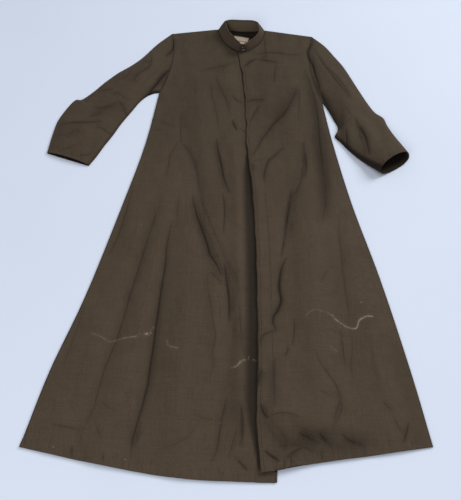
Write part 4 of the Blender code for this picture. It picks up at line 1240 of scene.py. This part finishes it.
class Nodes:
    """The nodes of one tree. Wherever one takes a number or a colour, it takes a socket too."""

    def __init__(self, tree):
        self.tree = tree

    def feed(self, socket, value):
        """Link a value to a socket, or set it there."""
        if isinstance(value, bpy.types.NodeSocket):
            self.tree.links.new(value, socket)
        else:
            socket.default_value = value

    def add(self, kind, sockets, **settings):
        """A node with its settings, and each of its named inputs fed."""
        item = self.tree.nodes.new(kind)
        for key, value in settings.items():
            setattr(item, key, value)
        for key, value in sockets.items():
            self.feed(item.inputs[key], value)
        return item.outputs

    def calc(self, operation, *terms, clamp=False):
        """The result of one arithmetic step."""
        sockets = dict(enumerate(terms))
        return self.add("ShaderNodeMath", sockets, operation=operation, use_clamp=clamp)[0]

    def times(self, first, second, clamp=False):
        """The product of two values."""
        return self.calc("MULTIPLY", first, second, clamp=clamp)

    def plus(self, *terms):
        """The sum of two values."""
        return self.calc("ADD", *terms)

    def minus(self, *terms):
        """The first value less the second."""
        return self.calc("SUBTRACT", *terms)

    def off(self, value, middle):
        """How far a value is from a middle one."""
        return self.calc("ABSOLUTE", self.minus(value, middle))

    def ramp(self, value, low, high, start=0.0, end=1.0):
        """A smooth step of a value, from start at low to end at high."""
        sockets = {0: value, 1: low, 2: high, 3: start, 4: end}
        return self.add("ShaderNodeMapRange", sockets, interpolation_type="SMOOTHSTEP")[0]

    def noise(self, place, scale, detail=2.0, roughness=0.5):
        """Even noise about a half, at a number of grains to the metre."""
        sockets = {"Vector": place, "Scale": scale, "Detail": detail, "Roughness": roughness}
        return self.add("ShaderNodeTexNoise", sockets)["Fac"]

    def mix(self, share, first, second):
        """Two colours mixed by a share."""
        first, second = (c if isinstance(c, bpy.types.NodeSocket) else (*c, 1.0)
                         for c in (first, second))
        return self.add("ShaderNodeMix", {0: share, 6: first, 7: second}, data_type="RGBA")[2]

    def scaled(self, place, scale, turn=0.0):
        """A place stretched along its axes and turned about the upright one."""
        sockets = {"Vector": place, "Scale": scale, "Rotation": (0.0, 0.0, turn)}
        return self.add("ShaderNodeMapping", sockets)[0]

    def part(self, place, axis):
        """One coordinate of a place."""
        return self.add("ShaderNodeSeparateXYZ", {0: place})[axis]

    def field(self, name):
        """A number that the piece carries at each point."""
        return self.add("ShaderNodeAttribute", {}, attribute_name=name,
                        attribute_type="GEOMETRY")["Fac"]

    def use(self, group, **sockets):
        """One of the shared groups, with its own values."""
        return self.add("ShaderNodeGroup", sockets, node_tree=group)


class Group(Nodes):
    """A shared group: its inputs are numbers with a start value, or vectors where it is None."""

    def __init__(self, name, outputs, **inputs):
        super().__init__(bpy.data.node_groups.new(name, "ShaderNodeTree"))
        for label, value in inputs.items():
            kind = "NodeSocketVector" if value is None else "NodeSocketFloat"
            socket = self.tree.interface.new_socket(label, in_out="INPUT", socket_type=kind)
            if value is not None:
                socket.default_value = value
        for label in outputs:
            self.tree.interface.new_socket(label, in_out="OUTPUT", socket_type="NodeSocketFloat")
        self.given = self.tree.nodes.new("NodeGroupInput").outputs
        self.result = self.tree.nodes.new("NodeGroupOutput").inputs

    def give(self, **values):
        """Put out the results, and return the group."""
        for label, value in values.items():
            self.feed(self.result[label], value)
        return self.tree


class Finish(Nodes):
    """A material whose shader has its constants set on its own sockets."""

    def __init__(self, name, colour, roughness, **constants):
        self.material = bpy.data.materials.new(name)
        self.material.use_nodes = True
        self.material.diffuse_color = (*colour, 1.0)
        super().__init__(self.material.node_tree)
        self.shader = self.tree.nodes["Principled BSDF"].inputs
        constants.update(Base_Color=(*colour, 1.0), Roughness=roughness)
        for key, value in constants.items():
            self.shader[key.replace("_", " ")].default_value = value
        self.place = self.add("ShaderNodeTexCoord", {})["Object"]

    def grain(self):
        """The place along and across the threads of a piece that carries them."""
        return self.add("ShaderNodeUVMap", {}, uv_map="grain")[0]

    def stitches(self, group, grain, axis, at, length):
        """The row of stitches beside an edge of the piece."""
        along = self.times(self.part(grain, axis), 100.0)
        return self.use(group, Distance=self.field("edge"), At=at, Length=length, Along=along)

    def done(self, colour, roughness=None, height=None):
        """Link the colour, the roughness and, through a bump, the height."""
        self.feed(self.shader["Base Color"], colour)
        if roughness is not None:
            self.feed(self.shader["Roughness"], roughness)
        if height is not None:
            sockets = {"Height": height, "Strength": 1.0, "Distance": 1.0}
            self.feed(self.shader["Normal"], self.add("ShaderNodeBump", sockets)[0])
        return self.material


def plain_weave_group():
    """Threads over and under: raised half waves, warp on the even squares and weft on the odd."""
    g = Group("plain_weave", ("Height", "Slub"), Vector=None, Threads=1400.0)
    place = g.given["Vector"]
    x, y = (g.times(g.part(place, axis), g.given["Threads"]) for axis in (0, 1))
    warp, weft = (g.calc("ABSOLUTE", g.calc("SINE", g.times(way, np.pi))) for way in (x, y))
    odd = g.calc("PINGPONG", g.plus(g.calc("FLOOR", x), g.calc("FLOOR", y)), 1.0)
    height = g.plus(g.times(warp, g.minus(1.0, odd)), g.times(weft, odd))
    long_way = g.noise(g.scaled(place, (1.0, 0.04, 1.0)), 320.0, 3.0, 0.7)
    cross_way = g.noise(g.scaled(place, (0.04, 1.0, 1.0)), 260.0, 3.0, 0.7)
    return g.give(Height=height, Slub=g.times(g.plus(long_way, cross_way), 0.5))


def fading_group():
    """Slow cloudy fading in two sizes, and fine dusty grain."""
    g = Group("fading", ("Cloud", "Grain"), Vector=None)
    place = g.given["Vector"]
    cloud = g.plus(g.times(g.noise(place, 5.0, 3.0, 0.55), 0.65),
                   g.times(g.noise(place, 34.0, 3.0, 0.6), 0.35))
    return g.give(Cloud=g.ramp(cloud, 0.32, 0.68), Grain=g.noise(place, 330.0, 3.0, 0.75))


def stitch_group():
    """A row of stitches at a distance from an edge: a groove, and short threads lying in it."""
    g = Group("stitch_row", ("Groove", "Thread"), Distance=0.0, At=0.7, Along=0.0, Length=0.28)
    away = g.off(g.given["Distance"], g.given["At"])
    passed = g.calc("FRACT", g.calc("DIVIDE", g.given["Along"], g.given["Length"]))
    dash = g.ramp(g.off(passed, 0.5), 0.34, 0.42, 1.0, 0.0)
    line = g.ramp(away, 0.02, 0.05, 1.0, 0.0)
    return g.give(Groove=g.ramp(away, 0.03, 0.16, 1.0, 0.0), Thread=g.times(dash, line))


def fold_line_group():
    """A sharp fold: a line of painted shade along the middle of a crease, and its groove in metres.
    """
    g = Group("fold_line", ("Dark", "Height"), Side=FAR, Sharp=0.0)
    away = g.calc("ABSOLUTE", g.given["Side"])
    sharp = g.times(g.given["Sharp"], 2.0, clamp=True)
    return g.give(Dark=g.times(g.ramp(away, 0.02, 0.27, 1.0, 0.0), sharp),
                  Height=g.times(g.ramp(away, 0.0, 0.5, -0.0014, 0.0), sharp))


def crumple_group():
    """Faint creases of cloth that was folded away: lines of painted shade where slow noise passes
    its middle, and their height.
    """
    g = Group("crumple", ("Line", "Height"), Vector=None)
    place = g.given["Vector"]
    marks = []
    rises = []
    for scale, stretch, turn, deep in ((9.0, 0.45, 0.25, 0.0016), (17.0, 0.7, -0.7, 0.0009)):
        off = g.off(g.noise(g.scaled(place, (1.0, stretch, 1.0), turn), scale, 2.0, 0.45), 0.5)
        here = g.ramp(g.noise(place, 0.45 * scale, 1.0), 0.42, 0.62)
        marks.append(g.times(g.ramp(off, 0.0, 0.014, 1.0, 0.0), here))
        rises.append(g.times(g.ramp(off, 0.0, 0.16), deep))
    return g.give(Line=g.calc("MAXIMUM", *marks), Height=g.plus(*rises))


def scuff_group():
    """A broken pale line: near the middle of the path, thinned by noise and fading at its ends."""
    g = Group("scuff", ("Mask",), Vector=None, Side=FAR, Along=0.0, Strength=0.0)
    place, along = g.given["Vector"], g.given["Along"]
    wander = g.times(g.minus(g.noise(place, 55.0, 3.0), 0.5), 0.8)
    away = g.calc("ABSOLUTE", g.plus(g.given["Side"], wander))
    core = g.ramp(away, 0.03, 0.27, 1.0, 0.0)
    halo = g.times(g.ramp(away, 0.1, 1.0, 1.0, 0.0), 0.12)
    broken = g.ramp(g.noise(place, 90.0, 3.0, 0.7), 0.36, 0.6, 0.25, 1.0)
    ends = g.times(g.ramp(along, 0.0, 0.10), g.ramp(along, 0.92, 1.0, 1.0, 0.0))
    mask = g.times(g.plus(core, halo), g.times(broken, ends))
    return g.give(Mask=g.times(mask, g.given["Strength"], clamp=True))


def make_materials():
    """Every finish: the suiting, the collar's cloth, the button, its thread, ribbon and lint."""
    weave = plain_weave_group()
    fading = fading_group()
    stitch = stitch_group()
    scuff = scuff_group()
    fold_line = fold_line_group()
    crumple = crumple_group()
    made = {}

    # The suiting: olive-brown, faded in clouds, streaked along its threads, with painted shade in
    # its creases
    m = Finish("dark_suiting", (0.056, 0.042, 0.028), 0.9, Specular_IOR_Level=0.12, **SHEEN)
    grain = m.grain()
    cloth = m.use(weave, Vector=grain, Threads=THREADS)
    cloud = m.use(fading, Vector=m.place)
    slept = m.use(crumple, Vector=m.place)
    crease = m.use(fold_line, Side=m.field("line"), Sharp=m.field("sharp"))
    row = m.stitches(stitch, grain, 1, EDGE_STITCH, 0.28)
    gathers = m.noise(m.scaled(grain, (1.0, 0.16, 1.0)), 110.0, 2.0, 0.6)
    hem = m.field("hem")
    near_hem = m.times(m.ramp(hem, 0.1, 0.6), m.ramp(hem, 1.6, 3.4, 1.0, 0.0))
    pucker_shade = m.times(m.ramp(gathers, 0.56, 0.68), near_hem)
    pale = m.use(scuff, Vector=m.place, Side=m.field("scuff_side"),
                 Along=m.field("scuff_along"), Strength=m.field("scuff_strength"))["Mask"]
    colour = m.mix(cloud["Cloud"], (0.0517, 0.0371, 0.0245), (0.0636, 0.0463, 0.0313))
    for share, over in (
            (m.times(m.ramp(cloth["Slub"], 0.36, 0.64), 0.45), (0.0816, 0.0598, 0.0405)),
            (m.ramp(cloud["Grain"], 0.40, 0.66, 0.0, 0.30), (0.030, 0.022, 0.015)),
            # Darker towards the neck end: painted shade
            (m.ramp(m.part(m.place, 1), -0.10, 0.40, 0.0, 0.20), (0.020, 0.015, 0.010)),
            # Lighter where the creased cloth stands highest: painted highlight
            (m.ramp(m.field("fold"), 0.06, 0.40, 0.0, 0.16), (0.0895, 0.0665, 0.0452)),
            # Painted shade along the faint creases
            (m.times(slept["Line"], 0.07), SHADE_AND_SEAM_BLACK),
            # Painted shade beside the creases
            (m.times(m.field("shade"), 1.1, clamp=True), SHADE_AND_SEAM_BLACK),
            # Painted shade along the middle of the sharp creases
            (m.times(crease["Dark"], 0.85), SHADE_AND_SEAM_BLACK),
            # Painted shade between the hem's puckers
            (m.times(pucker_shade, 0.34), SHADE_AND_SEAM_BLACK),
            (m.ramp(m.field("seam"), 0.05, 0.35, 0.30, 0.0), SHADE_AND_SEAM_BLACK),
            # Painted shade in the stitches' groove
            (m.times(row["Groove"], 0.30), SHADE_AND_SEAM_BLACK),
            (m.times(row["Thread"], 0.5), (0.050, 0.039, 0.028)),
            # Painted shade in the valley by the left front's edge, in the neck and inside the
            # sleeves
            (m.times(m.field("hollow"), 0.76, clamp=True), SHADE_AND_SEAM_BLACK),
            (m.times(pale, 0.7), (0.26, 0.21, 0.15))):
        colour = m.mix(share, colour, over)
    height = m.plus(m.times(cloth["Height"], WEAVE_HEIGHT), m.times(cloth["Slub"], 0.00020))
    height = m.plus(height, m.minus(slept["Height"], m.times(m.times(gathers, near_hem), 0.0030)))
    height = m.minus(m.plus(height, crease["Height"]), m.times(row["Groove"], 0.0002))
    height = m.plus(height, m.times(row["Thread"], 0.0002))
    made["suiting"] = m.done(colour, m.plus(0.80, m.times(cloud["Grain"], 0.16)), height)

    # The collar: the same cloth over an interlining, darker, smoother, with a row of stitches, and
    # painted light on its inner face
    m = Finish("collar_suiting", (0.032, 0.026, 0.020), 0.8, Specular_IOR_Level=0.15, **SHEEN)
    grain = m.grain()
    cloth = m.use(weave, Vector=grain, Threads=THREADS)
    cloud = m.use(fading, Vector=m.place)
    row = m.stitches(stitch, grain, 0, 0.45, 0.26)
    colour = m.mix(cloud["Cloud"], (0.0465, 0.0321, 0.0214), (0.0606, 0.0425, 0.0288))
    for share, over in (
            (m.times(m.ramp(cloth["Slub"], 0.35, 0.65), 0.35), (0.0788, 0.0558, 0.0381)),
            # The inner face lighter: painted light
            (m.times(m.field("inside"), 0.8), (0.135, 0.103, 0.070)),
            # Painted shade in the stitches' groove
            (m.times(row["Groove"], 0.5), COLLAR_SHADE_BLACK),
            (m.times(row["Thread"], 0.7), (0.045, 0.038, 0.030)),
            # Darker at the foot, where the band meets the body: a dark seam and painted shade in
            # the corner
            (m.ramp(m.field("seam"), 0.10, 0.55, 0.85, 0.0), COLLAR_SHADE_BLACK),
            (m.ramp(m.field("edge"), 0.0, 0.22, 0.35, 0.0), (0.075, 0.062, 0.048))):
        colour = m.mix(share, colour, over)
    height = m.plus(m.times(cloth["Height"], WEAVE_HEIGHT),
                    m.times(m.noise(m.place, 60.0, 3.0), 0.0006))
    height = m.minus(height, m.times(row["Groove"], 0.00025))
    height = m.plus(height, m.times(row["Thread"], 0.0002))
    made["collar"] = m.done(colour, m.plus(0.72, m.times(cloud["Grain"], 0.16)), height)

    # The button: polished, with fine turning marks and faint handling wear
    m = Finish("polished_button", (0.012, 0.011, 0.010), 0.28, Coat_Roughness=0.06,
               Specular_IOR_Level=1.0)
    worn = m.use(fading, Vector=m.place)["Grain"]
    m.feed(m.shader["Coat Weight"], m.ramp(worn, 0.3, 0.7, 0.85, 1.0))
    made["button"] = m.done(m.mix(worn, (0.009, 0.008, 0.007), (0.024, 0.021, 0.018)),
                            m.plus(0.08, m.times(m.noise(m.place, 900.0, 3.0), 0.16)),
                            m.times(m.noise(m.place, 1500.0, 2.0), 0.00002))

    # Sewing thread: twisted, about as dark as the button
    m = Finish("sewing_thread", (0.030, 0.025, 0.020), 0.6)
    twist = m.add("ShaderNodeTexWave", {"Vector": m.place, "Scale": 900.0, "Distortion": 1.5},
                  bands_direction="DIAGONAL")["Fac"]
    made["thread"] = m.done(m.mix(twist, (0.006, 0.005, 0.004), (0.020, 0.016, 0.012)), None,
                            m.times(twist, 0.0001))

    # The blank ribbons: off-white, woven across, sewn down round their edges, with painted shade in
    # their stitches' groove and round their border
    for key, light, dark in (("ribbon", (0.50, 0.41, 0.32), (0.34, 0.27, 0.21)),
                             ("tab", (0.66, 0.58, 0.46), (0.46, 0.39, 0.30))):
        m = Finish("woven_" + key, light, 0.7, Sheen_Weight=0.15)
        grain = m.grain()
        cloth = m.use(weave, Vector=grain, Threads=RIBBON_THREADS)
        worn = m.use(fading, Vector=m.place)["Grain"]
        row = m.stitches(stitch, grain, 0, 0.14, 0.22)
        colour = m.mix(worn, dark, light)
        colour = m.mix(m.times(row["Groove"], 0.4), colour, dark)
        border_shade = m.ramp(m.field("edge"), 0.04, 0.30, 0.85, 0.0)
        colour = m.mix(border_shade, colour, (0.08, 0.062, 0.046))
        colour = m.mix(m.times(row["Thread"], 0.6), colour, (0.20, 0.17, 0.13))
        height = m.minus(m.times(cloth["Height"], 0.00005), m.times(row["Groove"], 0.0001))
        made[key] = m.done(colour, m.plus(0.60, m.times(worn, 0.2)), height)

    # Lint: pale tangled fibre
    m = Finish("pale_lint", (0.42, 0.39, 0.34), 0.95)
    fibre = m.noise(m.place, 1500.0, 4.0, 0.7)
    made["lint"] = m.done(m.mix(fibre, (0.14, 0.12, 0.10), (0.50, 0.47, 0.42)), None,
                          m.times(fibre, 0.0004))

    # The floor: plain and pale, with the faintest unevenness
    m = Finish("pale_floor", (0.60, 0.66, 0.76), 0.9)
    made["floor"] = m.done(m.mix(m.noise(m.place, 3.0, 3.0), (0.57, 0.625, 0.735),
                                 (0.60, 0.655, 0.765)))
    return made


# ---------------------------------------------------------------- the studio

def make_stage(material):
    """A wide plain floor just under the garment."""
    mesh = bpy.data.meshes.new("floor")
    corners = [(x * FLOOR_REACH, y * FLOOR_REACH, -FLOOR_DROP)
               for x, y in ((-1, -1), (1, -1), (1, 1), (-1, 1))]
    mesh.from_pydata(corners, [], [(0, 1, 2, 3)])
    mesh.materials.append(material)
    show("floor", mesh)


def make_lights():
    """Soft studio light: a wide panel beyond the left shoulder, and two weaker ones."""
    for name, place, size, power in LIGHTS:
        light = bpy.data.lights.new(name, "AREA")
        light.shape = "SQUARE"
        light.size = size
        light.energy = power
        lamp = show(name, light)
        lamp.location = place
        aim = Vector(LIGHT_TARGET) - Vector(place)
        lamp.rotation_euler = aim.to_track_quat("-Z", "Y").to_euler()
    world = bpy.data.worlds.new("studio")
    world.use_nodes = True
    background = world.node_tree.nodes["Background"].inputs
    background["Color"].default_value = SKY_COLOUR
    background["Strength"].default_value = SKY_STRENGTH
    bpy.context.scene.world = world


def make_camera():
    """The photograph's view: from above the hem, looking down along the garment."""
    forward = Vector(CAMERA_FORWARD).normalized()
    right = Vector(CAMERA_RIGHT).normalized()
    up = right.cross(forward).normalized()
    lens = bpy.data.cameras.new("camera")
    lens.sensor_fit = "VERTICAL"
    lens.sensor_width = lens.sensor_height = SENSOR
    lens.lens = FOCAL_LENGTH
    lens.clip_start = CLIP_START
    camera = show("camera", lens)
    turned = Matrix((right, up, -forward)).transposed().to_4x4()
    camera.matrix_world = Matrix.Translation(CAMERA_PLACE) @ turned
    bpy.context.scene.camera = camera


def main():
    """The whole scene: studio, cloth, small parts, and what each sheet is cut from."""
    bpy.context.scene.view_settings.view_transform = "Standard"
    made = make_materials()
    suiting = made["suiting"]
    edges = body_edges()
    make_camera()
    make_lights()
    make_stage(made["floor"])
    hem = np.linspace(edges["front"][-1], edges["underlap"][-1], UNDERLAP_STEPS + 1)
    strip = coons(edges["neck_middle"], hem, edges["front"], edges["underlap"])
    back = make_back(edges, suiting)
    front_right, right_surface = make_front_right(edges, strip, suiting)
    front_left, left_surface = make_front_left(edges, strip, suiting)
    surfaces = (right_surface, left_surface)
    sleeve_right = make_sleeve("right", suiting)
    sleeve_left = make_sleeve("left", suiting)
    collar = make_collar(edges, made["collar"])
    button, thread = make_button(edges, made["button"], made["thread"])
    label = make_ribbon("neck_ribbon", LABEL, made["ribbon"], ("neck_label",))
    tab = make_ribbon("size_ribbon", TAB, made["tab"], ("size_tab",))
    tack = make_tack(surfaces, made["thread"])
    lint = make_lint(surfaces, made["lint"])


main()
